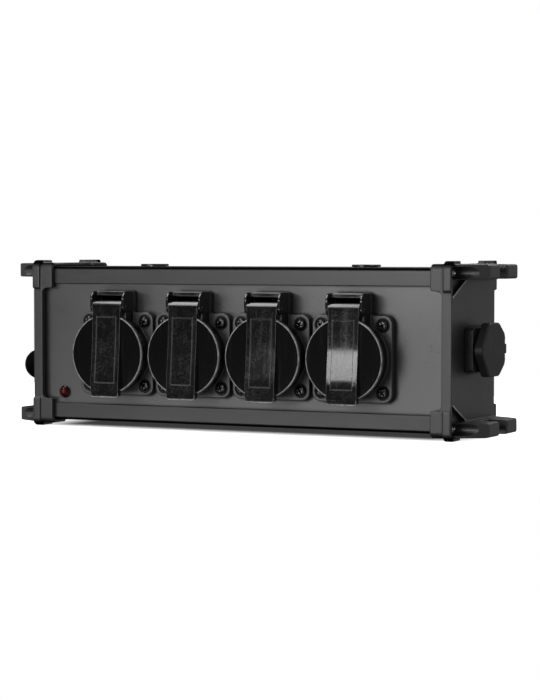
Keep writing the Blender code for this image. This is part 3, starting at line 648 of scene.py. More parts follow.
def channel(sign):
    """One channel, with soft outer corners and eased lip edges."""
    r, e = 1.9, 0.28
    front = arc(e, LIP + e, e, 270, 180, 4) + arc(r, H - r, r, 180, 90, 8)
    rear = arc(D - r, H - r, r, 90, 0, 8) + arc(D - e, LIP + e, e, 0, -90, 4)
    inside = arc(D - 1.5 + e, LIP + e, e, 270, 180, 3) + [
        (D - 1.5, GROOVE_Z), (D - 4.1, GROOVE_Z), (D - 4.1, LIP), (D - 5.6, LIP), (D - 5.6, 41.6),
        (D - 7.2, 43.4), (D - 7.2, H - 1.5)]
    loops = [front + rear + inside + flip(inside)[:]]
    loops += [circle(*PORT, 1.9, 20), circle(D - PORT[0], PORT[1], 1.9, 20)]
    if sign < 0:
        loops = down(loops)
    body = outline("channel", loops, "X", -HALF_L, HALF_L)
    if sign > 0:
        body = cut(body, *[rod("hole", 7.3, "Z", (x, 32.5, 0), 40, 55, 48) for x in INSERTS])
    return body


dress(channel(1), "top_channel", mat_channel, "housing", ["top_shell"], angle=30)
dress(channel(-1), "bottom_channel", mat_channel, "housing", ["bottom_shell"], angle=30)

panel_loop = [(-38.6, -133.1), (38.6, -133.1), (38.6, 133.1), (-38.6, 133.1)]
holes = [circle(SOCKET_Z, x, 21.3, 72) for x in SOCKETS]
holes += [circle(SOCKET_Z + sz * 19.25, x + sx * 19.25, 1.9, 16) for x in SOCKETS for sz in (-1, 1) for sx in (-1, 1)]
holes += [circle(-29.9, -118.5, 3.5, 32)]
dress(outline("panel", [panel_loop] + holes, "Y", 1.8, 3.8), "socket_panel", mat_panel, "housing",
      ["front_panel"], angle=30)
dress(outline("panel", [panel_loop], "Y", D - 3.8, D - 1.8), "back_panel", mat_panel, "housing",
      ["rear_panel"], angle=30)

# ======================= 2. end caps =======================================================
CAP_OUT, RAIL_IN, BRACKET_IN, REAR_BRACKET_IN = 137.8, 131.7, 124.8, 126.9
RECESS_X, SEAT_X = 135.0, 134.8


def strap_loop(top, rear):
    r, e, n = (1.0 if rear else 4.6), 1.0, 8
    z1 = 51.0
    if rear:
        y1, leg = 69.8, 50.6
        pts = ([(leg, z1)] + arc(y1 - r, z1 - r, r, 90, 0, n) + arc(y1 - e, 33.6 + e, e, 0, -90, 5)
               + [(y1 - 3.0, 33.6), (y1 - 3.0, z1 - 3.0), (leg, z1 - 3.0)])
    else:
        y0, leg = -4.84, 10.6
        pts = ([(leg, z1 - 3.0), (y0 + 3.0, z1 - 3.0), (y0 + 3.0, 33.6)] + arc(y0 + e, 33.6 + e, e, 270, 180, 5)
               + arc(y0 + r, z1 - r, r, 180, 90, n) + [(leg, z1)])
    return pts if top else [(y, -z) for y, z in pts][::-1]


def corner_loop(pts, top, rear):
    if rear:
        pts = flip(pts)
    return pts if top else [(y, -z) for y, z in pts][::-1]


def horn(sign):
    """Two blocks with an open notch between them, their outer corners well rounded."""
    x0, x1, r = CAP_OUT, 156.1, 1.6
    base = RECESS_X - 0.7
    y1, y2, y3, y4, y5 = 9.3, 26.4, 39.0, 56.0, 66.0
    plan = ([(base, -2.4), (x0 - 2.6, -2.4), (x1 - 2.2, y1 - 1.4), (x1 - 0.7, y1 - 0.2), (x1, y1 + 1.4)]
            + arc(x1 - r, y2 - r, r, 0, 90, 5) + arc(143.5 + 1.2, y2 + 1.2, 1.2, 270, 180, 3)
            + arc(143.5 + 1.2, y3 - 1.2, 1.2, 180, 90, 3)
            + arc(x1 - r, y3 + r, r, 270, 360, 5)
            + [(x1, y4 - 1.4), (x1 - 0.7, y4 + 0.2), (x1 - 2.2, y4 + 1.4), (x0 - 1.5, y5 + 0.7), (base, y5 + 0.7)])
    z0, z1 = (40.6, 49.0) if sign > 0 else (-49.0, -40.6)
    body = outline("horn", [plan], "Z", z0 - 0.4, z1 + 0.4)
    side = ([(z0, 100.0)] + arc(z0 + 2.0, x1 - 2.0, 2.0, 180, 90, 6) + arc(z1 - 2.0, x1 - 2.0, 2.0, 90, 0, 6)
            + [(z1, 100.0)])
    return common(body, outline("side", [side], "Y", -20, 90))


def end_cap(name, openings):
    corners = [(t, b) for t in (True, False) for b in (True, False)]
    cap = outline(name, [round_rect(-3.4, 68.3, -49.3, 49.3, 3.6, 8)], "X", BRACKET_IN, CAP_OUT)
    cap = cut(cap, outline("pocket", [round_rect(-0.15, 65.05, -47.2, 47.2, 1.3, 4)], "X", 119, 133.6))
    r = 3.0
    side = ([(-33.9, 119)] + arc(-33.9 + r, RAIL_IN - r, r, 180, 90, 8)
            + arc(33.9 - r, RAIL_IN - r, r, 90, 0, 8) + [(33.9, 119)])
    cap = cut(cap, outline("side_window", [side[::-1]], "Y", -9, 74))
    b0, b1 = 12.4, D - 12.4
    flat = ([(119, b0)] + arc(RAIL_IN - r, b0 + r, r, -90, 0, 8) + arc(RAIL_IN - r, b1 - r, r, 0, 90, 8) + [(119, b1)])
    cap = cut(cap, outline("flat_window", [flat], "Z", -55, 55))
    edge = [(CAP_OUT - 3.4, 69.5), (CAP_OUT + 1.2, 64.9), (CAP_OUT + 1.2, 69.5)]
    cap = cut(cap, outline("rear_edge", [edge], "Z", -57, 57))
    cap = cut(cap, *[block("short", 119, REAR_BRACKET_IN, 47.5, 74, *z) for z in ((28.9, 55), (-55, -28.9))])
    pocket = [(-1.7, 30.4), (14.4, 38.1), (17.5, 39.4), (20.0, 40.5), (20.0, 44.0), (-1.7, 44.0)]
    cap = cut(cap, *[outline("recess", [corner_loop(pocket, t, False)], "X", RECESS_X, CAP_OUT + 5) for t in (True, False)])
    cap = join(cap, *[outline("strap", [strap_loop(t, b)], "X", 133.1, 137.95) for t, b in corners])
    cap = join(cap, horn(1))
    cap = join(cap, horn(-1))
    way = ([(-1.5, 40.9)] + arc(3.0, 44.2, 3.3, -90, 90, 12) + [(-1.5, 47.5)])
    cap = cut(cap, *[outline("groove", [corner_loop(way, t, b)], "X", SEAT_X, 170) for t, b in corners])
    return cut(cap, *openings) if openings else cap


OUTLET_Y, INLET_Y = 31.9, 45.0
right_cap = soften(end_cap("right_cap", [rod("hole", 12.2, "X", (0, OUTLET_Y, 0), 120, 150)]), 0.42, 4, 0.35)
dress(right_cap, "right_end_cap", mat_cap, "housing", ["end_cap_right"])
left_cap = soften(end_cap("left_cap", [rod("hole", 12.2, "X", (0, INLET_Y, 0), 120, 150),
                                       rod("hole", 6.3, "X", (0, 16.5, -14.2), 120, 150)]), 0.42, 4, 0.35)
left_cap = mirrored(left_cap, "left_end_cap")
dress(left_cap, "left_end_cap", mat_cap, "housing", ["end_cap_left"])


# a pale bead along the lower edge of each corner pocket: a painted highlight line
for side, s in (("left", -1), ("right", 1)):
    for where, t in (("upper", 1), ("lower", -1)):
        path = [(-1.3, 30.25), (6.0, 33.75), (14.4, 37.75), (17.0, 38.9), (19.4, 39.8)]
        ridge = bead("ridge", [(s * (CAP_OUT - 0.12), y, t * z) for y, z in path], 0.40)
        dress(ridge, f"{side}_cap_{where}_ridge", mat_ridge_highlight, "housing", (), angle=60)


# ======================= 3. screws =========================================================
def pan_head(head_r, head_h, shaft_r, shaft_len):
    """Pan-head screw along +Z (head at the top), with a cross recess and a filleted head."""
    prof = [(0, head_h)]
    prof += [(head_r * 0.62 * t, head_h - 0.10 * t * t) for t in (0.5, 1.0)]
    prof += [(head_r * 0.62 + (head_r * 0.38) * math.sin(a), head_h - 0.10 - (head_h - 0.55) * (1 - math.cos(a)))
             for a in (0.35, 0.7, 1.05, 1.35, math.pi / 2)]
    prof += [(head_r, 0.18), (head_r - 0.18, 0.0), (shaft_r, 0.0), (shaft_r, -shaft_len + 1.2), (0, -shaft_len)]
    body = turned("screw", prof, "Z", (0, 0, 0), 40)
    w = head_r * 0.17
    reach = head_r * 0.62
    arms = []
    for k in range(2):
        loop = [(-reach, head_h + 1), (-reach * 0.95, head_h - 0.1), (-w * 0.9, -0.4), (w * 0.9, -0.4),
                (reach * 0.95, head_h - 0.1), (reach, head_h + 1)]
        # the loop is (x, height), thin in the other direction
        arm = outline("arm", [[(u, v) for u, v in loop]], "Z", -w, w)
        arm.data.transform(Matrix.Rotation(math.radians(90), 4, "X"))
        arm.data.transform(Matrix.Rotation(math.radians(90 * k), 4, "Z"))
        arms.append(arm)
    return bevelled(cut(body, *arms), 0.09, 2, 40)


rng = random.Random(7)
flange_screw = pan_head(3.1, 2.0, 1.4, 11.0)
plate_screw = pan_head(2.9, 2.0, 1.5, 15.0)
turn_y = Matrix.Rotation(math.radians(90), 4, "X")          # +Z to -Y
turn_x = Matrix.Rotation(math.radians(90), 4, "Y")          # +Z to +X
turn_nx = Matrix.Rotation(math.radians(-90), 4, "Y")        # +Z to -X

# ======================= 4. sockets ========================================================
FLANGE_Y0, FLANGE_Y1 = -3.5, -0.5
HINGE_Y, HINGE_Z = -11.9, 28.4


def flange_loop(n=8, grow=0.0):
    h, w, top, r = 25.0 + grow, 11.6 + grow, 37.8 + grow, 5.0
    return ([(h, -w)] + arc(h - r, -h + r, r, 0, -90, n) + arc(-h + r, -h + r, r, -90, -180, n)
            + arc(-h + r, h - r, r, 180, 90, n) + arc(h - r, h - r, r, 90, 0, n)
            + [(h, w)] + arc(top - 2.0, w - 2.0, 2.0, 90, 0, 4) + arc(top - 2.0, -w + 2.0, 2.0, 0, -90, 4))


def socket_shape():
    at = [(sz * 19.25, sx * 19.25) for sz in (-1, 1) for sx in (-1, 1)]
    body = outline("socket", [flange_loop()], "Y", FLANGE_Y0, FLANGE_Y1)
    drum = turned("drum", [(0, 26.0), (19.3, 26.0), (20.8, 24.5), (20.8, -1.5), (22.4, -1.5), (22.4, -12.5), (0, -12.5)],
                  "Y", (0, 0, 0), 96)
    body = join(body, drum)
    y1, top, w = -1.1, 37.75, 11.6
    hood = [(y1, 16.6), (-12.2, 16.6), (-12.2, 24.7)] + arc(-12.4, 28.5, 3.0, 255, 180, 6)
    hood += arc(-15.4 + 5.0, top - 5.0, 5.0, 180, 90, 12) + [(y1, top)]
    body = join(body, outline("hood", [hood[::-1]], "X", -w, w))
    # the room behind the barrel is open at the front; its roof ends short of the cheeks
    room = [(FLANGE_Y0 - 1.2, 23.5), (-20.0, 23.5), (-20.0, 45.0), (-9.3, 45.0), (-9.3, top - 2.7), (FLANGE_Y0 - 1.2, top - 2.7)]
    body = cut(body, outline("room", [room[::-1]], "X", -10.1, 10.1))
    body = cut(body, rod("well", 19.6, "Y", (0, 0, 0), -30.0, 5.0, 96))
    body = cut(body, *[turned("pin_hole", [(0, 21.0), (2.6, 21.0), (2.6, 5.8), (3.6, 4.8), (3.6, 0.0), (0, 0.0)],
                              "Y", (s * 9.5, 0, 0), 32) for s in (-1, 1)])
    # guide ribs at each side of the well and a low boss round the pin holes
    ribs = [block("rib", s * 19.0 - 1.3, s * 19.0 + 1.3, -8.6, 5.5, z - 1.0, z + 1.0) for s in (-1, 1) for z in (-4.0, 4.0)]
    body = join(body, *ribs)
    boss = outline("boss", [round_rect(-4.4, 4.4, -15.0, 15.0, 4.3, 8), circle(0, -9.5, 2.6, 32), circle(0, 9.5, 2.6, 32)],
                   "Y", 4.2, 5.6)
    body = join(body, boss)
    body = cut(body, *[rod("seat", 4.0, "Y", (x, 0, z), -8.0, -2.6, 40) for z, x in at])
    return cut(body, *[rod("hole", 1.8, "Y", (x, 0, z), -8.0, 4.0, 20) for z, x in at])


socket_fine = soften(socket_shape(), 0.30, 4, 0.35)


gasket = bevelled(outline("gasket", [flange_loop(grow=0.15), circle(0, 0, 21.3, 64)]
                          + [circle(sz * 19.25, sx * 19.25, 1.9, 12) for sz in (-1, 1) for sx in (-1, 1)],
                          "Y", -0.45, 1.75), 0.3, 3)

# lid: disc with a bevel whose edge ring is painted pale as a highlight, a rubber ring behind, the lift strip and its
# barrel
disc_profile = [(0, -12.8), (20.2, -12.8), (20.6, -13.0), (23.7, -13.0), (24.05, -13.1), (24.25, -13.35),
                (24.25, -14.5), (24.20, -14.65), (23.48, -15.40), (23.36, -15.48), (23.2, -15.5), (0, -15.5)]
disc = turned("disc", disc_profile, "Y", (0, 0, 0), 160)
rim = turned("rim", [(23.3, -15.35), (23.32, -15.5), (23.42, -15.55), (23.54, -15.52), (23.64, -15.43), (23.92, -15.14),
                     (23.9, -15.0), (23.3, -15.35)], "Y", (0, 0, 0), 160)
ring = turned("ring", [(17.6, -10.9), (18.2, -10.8), (18.9, -11.0), (19.2, -11.5), (19.2, -13.0), (17.3, -13.0), (17.6, -10.9)],
              "Y", (0, 0, 0), 96)


STRIP_FRONT = [(29.6, -15.64), (28.4, -15.65), (25.7, -15.69), (22.0, -15.80), (18.0, -15.93), (14.0, -16.08), (10.0, -16.26), (6.5, -16.46),
               (4.0, -16.66), (1.0, -16.95), (-3.0, -17.34), (-7.0, -17.73), (-11.0, -18.13), (-15.0, -18.52),
               (-16.2, -18.56), (-19.0, -18.56), (-22.3, -18.56), (-22.8, -18.58), (-23.4, -18.65), (-24.0, -18.68)]


def strip_shape():
    """Lift strip: nearly upright above, leaning out in the middle, upright again at its foot."""
    w, r, end = 9.4, 0.3, -25.35
    front = [(y, z) for z, y in STRIP_FRONT]
    foot = arc(-18.68 + r, end + r, r, 180, 270, 6)
    back = [(-15.6, end), (-15.0, end + 0.6), (-14.2, -20.0), (-13.6, 20.0), (-13.6, 29.6)]
    body = outline("strip", [front + foot + back], "X", -w, w)
    face = [(40.0, -w), (40.0, w)] + arc(end + 1.6, w - 1.6, 1.6, 90, 180, 8) + arc(end + 1.6, -w + 1.6, 1.6, 180, 270, 8)
    return common(body, outline("face", [face], "Y", -25, -5))


def front_y(z):
    """Front face of the strip at a height above the socket centre."""
    for (za, ya), (zb, yb) in zip(STRIP_FRONT, STRIP_FRONT[1:]):
        if z >= zb:
            return ya + (yb - ya) * (za - z) / (za - zb)
    return STRIP_FRONT[-1][1]


def window_cutter(x0, x1, z0, z1, depth):
    """A pocket that follows the strip's front at a given depth."""
    n = 14
    zs = [z1 + (z0 - z1) * i / n for i in range(n + 1)]
    loop = [(front_y(z) + depth, z) for z in zs] + [(-22.0, z0), (-22.0, z1)]
    return outline("window", [loop], "X", x0, x1)


def window_plate(x0, x1, z0, z1, depth):
    """A thin plate inside the window, level with the frame but for a given depth."""
    n = 14
    zs = [z1 + (z0 - z1) * i / n for i in range(n + 1)]
    loop = [(front_y(z) + depth, z) for z in zs] + [(front_y(z) + 0.6, z) for z in zs[::-1]]
    return outline("plate", [loop], "X", x0, x1)


strip = strip_shape()
barrel = [(max(y, -15.60), z) for y, z in circle(HINGE_Y, HINGE_Z, 3.9, 96)]
strip = join(strip, outline("barrel", [barrel], "X", -9.75, 9.75))
strip = cut(strip, window_cutter(-6.9, 6.9, -17.3, 22.5, 0.30))
strip = join(strip, window_plate(-6.45, 6.45, -16.85, 22.05, 0.02))
strip = cut(strip, rod("bore", 1.45, "X", (0, HINGE_Y, HINGE_Z), -20, 20, 32))
strip = bevelled(strip, 0.2, 3, 28)
# a pale bead along the strip's foot: a painted highlight line
lip = [(9.1, -23.2), (9.08, -24.2), (8.7, -25.05), (7.9, -25.6)]
lip = bead("lip", [(x, -18.31, z) for x, z in lip + [(-x, z) for x, z in lip[::-1]]], 0.38)
pin_fine = turned("pin", [(0, 11.9), (0.9, 11.9), (1.2, 11.6), (1.2, -11.6), (0.9, -11.9), (0, -11.9)], "X",
                  (0, HINGE_Y, HINGE_Z), 32)


def clip_shape(sign):
    """Earth contact: a bent spring strip along the top or bottom of the well."""
    mid = [(4.6, 19.0), (-2.0, 18.4), (-5.6, 16.9), (-7.6, 16.7), (-8.9, 17.8), (-9.3, 19.0)]
    out = [(y, z + 0.45) for y, z in mid]
    loop = [(y, sign * z) for y, z in mid + out[::-1]]
    return bevelled(outline("clip", [loop], "X", -2.6, 2.6), 0.12, 2)


clips = [clip_shape(1), clip_shape(-1)]

for i, x in enumerate(SOCKETS, 1):
    at = (x, 0.0, SOCKET_Z)
    dress(copy_mesh(socket_fine, "s"), f"socket_{i}_moulding", mat_socket, "housing", [f"socket_{i}_body"],
          move=at)
    dress(copy_mesh(gasket, "g"), f"socket_{i}_seal", mat_gasket, "housing", [f"socket_{i}_gasket"],
          move=at)
    lid_body = f"lid_{i}"
    dress(copy_mesh(disc, "d"), f"socket_{i}_lid_disc", mat_lid, lid_body, [f"socket_{i}_lid"],
          move=at, angle=22)
    dress(copy_mesh(rim, "m"), f"socket_{i}_lid_rim", mat_painted_highlight, lid_body, (), move=at, angle=50)
    dress(copy_mesh(lip, "e"), f"socket_{i}_lid_lip", mat_painted_highlight, lid_body, (), move=at, angle=60)
    # a near-black matte sheet at the back of the hood's room: painted shade
    dress(block("l", -9.95, 9.95, -4.78, -4.6, 23.6, 34.95), f"socket_{i}_hood_shade_sheet", mat_shade_sheet, "housing", (),
          move=at)
    dress(copy_mesh(ring, "r"), f"socket_{i}_lid_ring", mat_gasket, lid_body, (), move=at, angle=30)
    dress(copy_mesh(strip, "t"), f"socket_{i}_lid_strip", mat_strip, lid_body, (), move=at)
    dress(copy_mesh(pin_fine, "p"), f"socket_{i}_pin", mat_steel, "housing", [f"socket_{i}_hinge_pin"],
          move=at, angle=30)
    for k, clip in enumerate(clips, 1):
        dress(copy_mesh(clip, "c"), f"socket_{i}_earth_clip_{k}", mat_nickel, "housing", (), move=at)
    for k, (sx, sz) in enumerate([(-1, 1), (1, 1), (1, -1), (-1, -1)], 1):
        spin = turn_y @ Matrix.Rotation(rng.uniform(0, math.tau), 4, "Z")
        dress(copy_mesh(flange_screw, "f"), f"socket_{i}_fixing_{k}", mat_steel, "housing", [f"socket_{i}_screw_{k}"],
              spin=spin, move=(x + sx * 19.25, -2.9, SOCKET_Z + sz * 19.25))

corners = [(3.0, 44.2), (D - 3.0, 44.2), (D - 3.0, -44.2), (3.0, -44.2)]
for side, s, turn in (("left", -1, turn_nx), ("right", 1, turn_x)):
    for k, (y, z) in enumerate(corners, 1):
        spin = turn @ Matrix.Rotation(rng.uniform(0, math.tau), 4, "Z")
        dress(copy_mesh(plate_screw, "e"), f"end_{side}_fixing_{k}", mat_bright, "housing",
              [f"end_cap_{side}_screw_{k}"], spin=spin, move=(s * (SEAT_X + 0.3), y, z))

# ======================= 5. pilot lamp =====================================================
bezel = turned("bezel", [(2.6, 10.0), (3.2, 10.0), (3.2, 1.6), (3.6, 1.5), (3.68, 1.2), (3.62, 0.75), (3.45, 0.45),
                         (3.2, 0.32), (3.0, 0.42), (2.9, 0.8), (2.6, 1.2), (2.6, 10.0)], "Y", (-118.5, 0, -29.9), 64)
dress(bezel, "lamp_bezel", mat_steel, "housing", ["pilot_lamp_bezel"], angle=40)
lens = [(0, 7.0), (2.3, 7.0), (2.3, 0.9), (2.84, 0.8), (2.9, 0.3)]
lens += [(2.9 * math.cos(a), 0.3 - 2.1 * math.sin(a)) for a in [math.pi / 2 * k / 12 for k in range(1, 12)]] + [(0, -1.8)]
dress(turned("lens", lens, "Y", (-118.5, 0, -29.9), 64), "lamp_lens", mat_red, "housing", ["pilot_lamp_lens"],
      angle=40)

# ======================= 6. rigging inserts ================================================
thread = []
z = 47.6
while z > 35.6:
    thread += [(4.25, z), (4.75, z - 0.75)]
    z -= 1.5
insert_profile = ([(4.9, 48.6), (8.1, 48.6), (8.45, 48.45), (8.6, 48.15), (8.6, 47.55), (8.4, 47.35), (7.0, 47.35), (7.0, 35.2),
                   (6.8, 35.0), (4.6, 35.0)] + thread[::-1] + [(4.25, 48.0), (4.9, 48.6)])
insert = turned("insert", insert_profile, "Z", (0, 0, 0), 72)
for side, x in zip(("left", "right"), INSERTS):
    dress(copy_mesh(insert, "i"), f"rigging_bush_{side}", mat_steel, "housing", [f"rigging_insert_{side}"],
          move=(x, 32.5, 0), angle=30)


# ======================= 7. mains connectors ===============================================
def connector_shape(yc):
    x0, x1 = CAP_OUT + 0.05, CAP_OUT + 5.5
    body = outline("connector", [round_rect(yc - 15.5, yc + 15.5, -12.9, 12.9, 2.5, 8)], "X", x0, x1)
    body = join(body, rod("barrel", 11.9, "X", (0, yc, 0), 118.0, x0 + 1.0, 72))
    px, py = CAP_OUT + 9.5, yc + 18.6
    for s in (-1, 1):
        z0, z1 = sorted((s * 3.3, s * 5.5))
        pts = [(x0, yc + 12.0), (x1 - 0.8, yc + 12.0), (x1 - 0.8, py - 2.2)]
        pts += arc(px, py, 2.2, -90, 90, 12) + [(x0, py + 2.2)]
        body = join(body, outline("ear", [pts], "Z", z0, z1))
    body = cut(body, rod("mouth", 10.0, "X", (0, yc, 0), 123.0, 160.0, 72))
    # two keyways in the mouth and the contact core
    body = cut(body, block("key", 128.0, 160.0, yc - 1.6, yc + 1.6, 9.0, 11.2),
               block("key", 128.0, 160.0, yc - 1.2, yc + 1.2, -11.2, -9.0))
    body = cut(body, rod("pivot", 1.35, "Z", (px, py, 0), -10, 10, 32))
    core = rod("core", 6.2, "X", (0, yc, 0), 121.0, 133.6, 48)
    slots = [block("slot", 126.0, 140.0, yc - 3.6 + dy, yc - 2.4 + dy, -2.2 + dz, 2.2 + dz)
             for dy, dz in ((0.0, 0.0), (4.8, 0.0))]
    slots.append(block("slot", 126.0, 140.0, yc - 2.0, yc + 2.0, 3.2, 4.4))
    core = cut(core, *slots)
    return join(body, core)


def cover_outline(yc, grow=0.0):
    w, c, h = 21.0 + grow * 1.3, 8.0 + grow * 0.4, 15.5 + grow
    e, f, g = 20.0 + grow * 1.1, 17.0 + grow * 0.9, 9.2 + grow * 0.5
    return rounded([(yc + e, 0.0), (yc + f, g), (yc + c, h), (yc - c, h), (yc - w, 0.0), (yc - c, -h), (yc + c, -h),
                    (yc + f, -g)], 4.5 + grow, 8)


def cover_shape(yc):
    """Sealing cap: six-sided with round corners and a soft front edge, hinge arm and knuckle."""
    x0, x1 = CAP_OUT + 7.6, CAP_OUT + 13.0
    px, py = CAP_OUT + 9.5, yc + 18.6
    rings = [(x0, -0.25), (x0 + 0.25, 0.0)] + [(x1 - 1.2 + 1.2 * math.sin(a), -1.2 * (1 - math.cos(a)))
                                               for a in [math.pi / 2 * t / 7 for t in range(8)]]
    cap = loft("cover", [[(x, y, z) for y, z in cover_outline(yc, grow)] for x, grow in rings])
    cap = cut(cap, block("relief", x0 - 5, CAP_OUT + 12.0, yc + 15.6, yc + 40, -5.8, 5.8),
              block("relief", x0 - 5, x1 + 5, yc + 17.0, yc + 40, -5.7, 5.7))
    arm = [(px - 2.6, yc + 13.0), (x1 - 0.25, yc + 13.0), (x1 - 0.25, yc + 19.8), (x1 - 1.4, yc + 21.2), (px, yc + 21.3),
           (px - 2.6, py)]
    cap = join(cap, outline("arm", [arm], "Z", -2.6, 2.6))
    cap = join(cap, rod("knuckle", 3.05, "Z", (px, py, 0), -2.85, 2.85, 48))
    return join(cap, rod("plug", 8.8, "X", (0, yc, 0), CAP_OUT + 3.0, x0 + 1.0, 64))


for side, yc, s, body in (("outlet", OUTLET_Y, 1, "outlet_cover"), ("inlet", INLET_Y, -1, "inlet_cover")):
    conn = soften(connector_shape(yc), 0.26, 3, 0.35)
    cover = soften(cover_shape(yc), 0.28, 3, 0.35)
    hinge = turned("trunnion", [(0, 5.3), (0.9, 5.3), (1.1, 5.1), (1.1, -5.1), (0.9, -5.3), (0, -5.3)], "Z",
                   (CAP_OUT + 9.5, yc + 18.6, 0), 24)
    if s < 0:
        conn, cover, hinge = mirrored(conn, "a"), mirrored(cover, "b"), mirrored(hinge, "c")
    dress(conn, f"{side}_moulding", mat_conn, "housing", [f"{side}_connector"])
    dress(cover, f"{side}_cover_moulding", mat_cover, body, [f"{side}_cap"])
    dress(hinge, f"{side}_cover_trunnion", mat_steel, body, (), angle=30)

# ======================= 8. breaker ========================================================
collar = [(6.3, -0.3), (10.7, -0.3), (11.0, -0.6), (11.0, -4.4), (10.7, -5.1), (10.3, -5.4), (10.1, -5.4), (9.9, -5.2),
          (9.9, -2.7), (6.3, -2.7), (6.3, -0.3)]
collar = turned("collar", collar, "X", (-CAP_OUT, 16.5, -14.2), 96)
teeth = [rod("tooth", 0.55, "X", (0, 16.5 + 11.15 * math.cos(a), -14.2 + 11.15 * math.sin(a)), -CAP_OUT - 7, -CAP_OUT - 0.9, 10)
         for a in [math.tau * k / 36 for k in range(36)]]
collar = cut(collar, *teeth)
dress(collar, "reset_collar", mat_conn, "housing", ["breaker_collar"], angle=35)
boot = [(0, -5.0), (9.2, -5.0), (9.5, -5.3), (9.5, -7.6)]
for k in range(1, 25):
    a = math.pi / 2 * k / 24
    fold = 0.16 * math.cos(a * 22.0) * (1 - k / 24)
    boot.append(((9.5 + fold) * math.cos(a) if k < 24 else 0.0, -7.6 - (17.6 - 7.6) * math.sin(a)))
dress(turned("boot", boot, "X", (-CAP_OUT, 16.5, -14.2), 72), "reset_boot", mat_boot, "button", ["reset_button"],
      angle=50)

# ======================= 9. inner pieces keep their CAD shape ==============================
for name, mat in (("terminal_block", mat_terminal), ("through_loom", mat_sheath), ("breaker_body", mat_conn)):
    obj = nodes[name]
    obj.data.materials.clear()
    obj.data.materials.append(mat)

for obj in list(shop.objects):
    if obj.get("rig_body") is None:
        bpy.data.objects.remove(obj, do_unlink=True)

# ======================= stage =============================================================
floor_mesh = bpy.data.meshes.new("floor")
bm = bmesh.new()
bmesh.ops.create_grid(bm, x_segments=1, y_segments=1, size=1.0)
bm.to_mesh(floor_mesh)
bm.free()
floor_mesh.transform(Matrix.Translation((0.0, 0.04, 0.0)) @ Matrix.Diagonal((0.40, 0.30, 1.0, 1.0)))
floor = bpy.data.objects.new("floor", floor_mesh)
scene.collection.objects.link(floor)
fm = bpy.data.materials.new("floor_white")
fm.use_nodes = True
ft = fm.node_tree
fb = ft.nodes["Principled BSDF"]
fb.inputs["Base Color"].default_value = (0.86, 0.86, 0.86, 1.0)
fb.inputs["Roughness"].default_value = 0.8
fb.inputs["Specular IOR Level"].default_value = 0.1
# the table glows evenly white away from the box and hardly at all under it: the dark under the box's footprint is a
# painted shadow, on top of the lamps' own shadow
geo = ft.nodes.new("ShaderNodeTexCoord")
apart = ft.nodes.new("ShaderNodeSeparateXYZ")
ft.links.new(geo.outputs["Object"], apart.inputs["Vector"])


def shaded(socket, middle, start, end):
    """1 near the middle of the footprint, 0 past its edge, along one direction."""
    off = ft.nodes.new("ShaderNodeMath")
    off.operation = "SUBTRACT"
    off.inputs[1].default_value = middle
    size = ft.nodes.new("ShaderNodeMath")
    size.operation = "ABSOLUTE"
    span = ft.nodes.new("ShaderNodeMapRange")
    span.interpolation_type = "SMOOTHSTEP"
    span.inputs["From Min"].default_value = start
    span.inputs["From Max"].default_value = end
    span.inputs["To Min"].default_value = 1.0
    span.inputs["To Max"].default_value = 0.0
    ft.links.new(socket, off.inputs[0])
    ft.links.new(off.outputs[0], size.inputs[0])
    ft.links.new(size.outputs[0], span.inputs["Value"])
    return span.outputs["Result"]


# painted shadow: 1 under the box's footprint, where the glow is taken away
shadow_under_box = ft.nodes.new("ShaderNodeMath")
shadow_under_box.operation = "MULTIPLY"
ft.links.new(shaded(apart.outputs["X"], 0.0, 0.116, 0.152), shadow_under_box.inputs[0])
ft.links.new(shaded(apart.outputs["Y"], 0.007, 0.012, 0.044), shadow_under_box.inputs[1])
glow = ft.nodes.new("ShaderNodeMapRange")
glow.inputs["From Min"].default_value = 0.0
glow.inputs["From Max"].default_value = 1.0
glow.inputs["To Min"].default_value = 1.1
glow.inputs["To Max"].default_value = 0.03
grain = ft.nodes.new("ShaderNodeTexNoise")
grain.inputs["Scale"].default_value = 700.0
swell = ft.nodes.new("ShaderNodeBump")
swell.inputs["Distance"].default_value = 0.00002
ft.links.new(geo.outputs["Object"], grain.inputs["Vector"])
ft.links.new(shadow_under_box.outputs[0], glow.inputs["Value"])
ft.links.new(glow.outputs["Result"], fb.inputs["Emission Strength"])
ft.links.new(grain.outputs["Fac"], swell.inputs["Height"])
ft.links.new(swell.outputs["Normal"], fb.inputs["Normal"])
fb.inputs["Emission Color"].default_value = (1.0, 1.0, 1.0, 1.0)
floor_mesh.materials.append(fm)
# the pieces take their light from the lamps and the room, not from the lit table
floor.visible_diffuse = False
floor.visible_glossy = False
floor.visible_shadow = False

world = bpy.data.worlds.new("studio")
scene.world = world
world.use_nodes = True
wt = world.node_tree
bg = wt.nodes["Background"]
tc = wt.nodes.new("ShaderNodeTexCoord")
sep = wt.nodes.new("ShaderNodeSeparateXYZ")
wt.links.new(tc.outputs["Generated"], sep.inputs["Vector"])


def wmath(op, a, b, clamp=False):
    n = wt.nodes.new("ShaderNodeMath")
    n.operation = op
    n.use_clamp = clamp
    for i, v in enumerate((a, b)):
        if isinstance(v, (int, float)):
            n.inputs[i].default_value = v
        else:
            wt.links.new(v, n.inputs[i])
    return n.outputs[0]


def ramp(value, lo, hi):
    n = wt.nodes.new("ShaderNodeMapRange")
    n.interpolation_type = "SMOOTHSTEP"
    n.inputs["From Min"].default_value = lo
    n.inputs["From Max"].default_value = hi
    wt.links.new(value, n.inputs["Value"])
    return n.outputs["Result"]


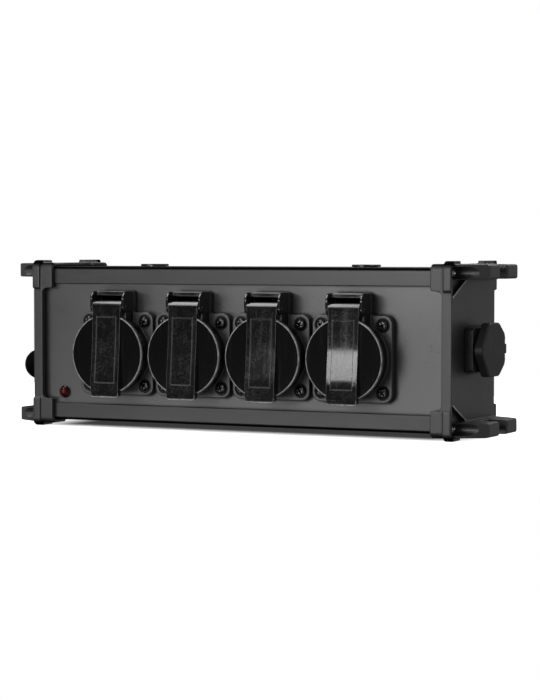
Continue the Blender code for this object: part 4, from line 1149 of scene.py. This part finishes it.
# what the pieces mirror: a dark room, paler at both sides; the camera itself sees white
left_side = wmath("MULTIPLY", sep.outputs["X"], -1.0)
strength = wmath("ADD", 0.055, wmath("MULTIPLY", ramp(left_side, 0.6, 0.95), 0.33))
strength = wmath("ADD", strength, wmath("MULTIPLY", ramp(sep.outputs["X"], 0.0, 0.6), 0.36))
path = wt.nodes.new("ShaderNodeLightPath")
seen = wmath("MULTIPLY", path.outputs["Is Camera Ray"], 1.0)
mixed = wmath("ADD", wmath("MULTIPLY", seen, 1.0), wmath("MULTIPLY", wmath("SUBTRACT", 1.0, seen), strength))
wt.links.new(mixed, bg.inputs["Strength"])
bg.inputs["Color"].default_value = (1.0, 1.0, 1.0, 1.0)


def area(name, at, look, size_x, size_y, radiance):
    data = bpy.data.lights.new(name, "AREA")
    data.shape = "RECTANGLE"
    data.size, data.size_y = size_x, size_y
    data.energy = radiance * math.pi * size_x * size_y
    obj = bpy.data.objects.new(name, data)
    scene.collection.objects.link(obj)
    obj.location = at
    obj.rotation_euler = (Vector(look) - Vector(at)).to_track_quat("-Z", "Y").to_euler()
    return obj


def bank(name, a, b, look, width, radiance):
    """A long light whose middle line runs from a to b and which faces the point look."""
    a, b = Vector(a), Vector(b)
    mid, along = (a + b) / 2, (b - a).normalized()
    back = mid - Vector(look)
    back = (back - along * back.dot(along)).normalized()
    side = along.cross(back)
    obj = area(name, mid, look, width, (b - a).length, radiance)
    obj.matrix_world = Matrix.Translation(mid) @ Matrix((side, along, back)).transposed().to_4x4()
    return obj


bank("overhead_bank", (-0.48, -0.84, 0.84), (-0.48, 0.22, 1.08), (0.0, 0.0, 0.05), 0.30, 7.4)
area("overhead_right", (0.52, -0.22, 1.05), (0.02, 0.0, 0.05), 0.30, 0.30, 2.8)
area("front_softbox", (-0.155, -0.85, 0.205), (-0.155, 0.0, 0.205), 0.37, 0.14, 9.0)
area("front_strip", (-0.42, -0.62, 0.215), (-0.42, 0.0, 0.215), 1.0, 0.11, 3.0)
area("rear_softbox", (0.10, 0.95, 0.86), (0.0, 0.0, 0.05), 0.80, 0.36, 5.0)
area("front_low", (-0.26, -0.80, -0.135), (-0.06, 0.0, 0.04), 0.66, 0.12, 5.0)

scene.view_settings.view_transform = "Standard"
scene.view_settings.look = "None"
scene.view_settings.exposure = 0.0
scene.view_settings.gamma = 1.0
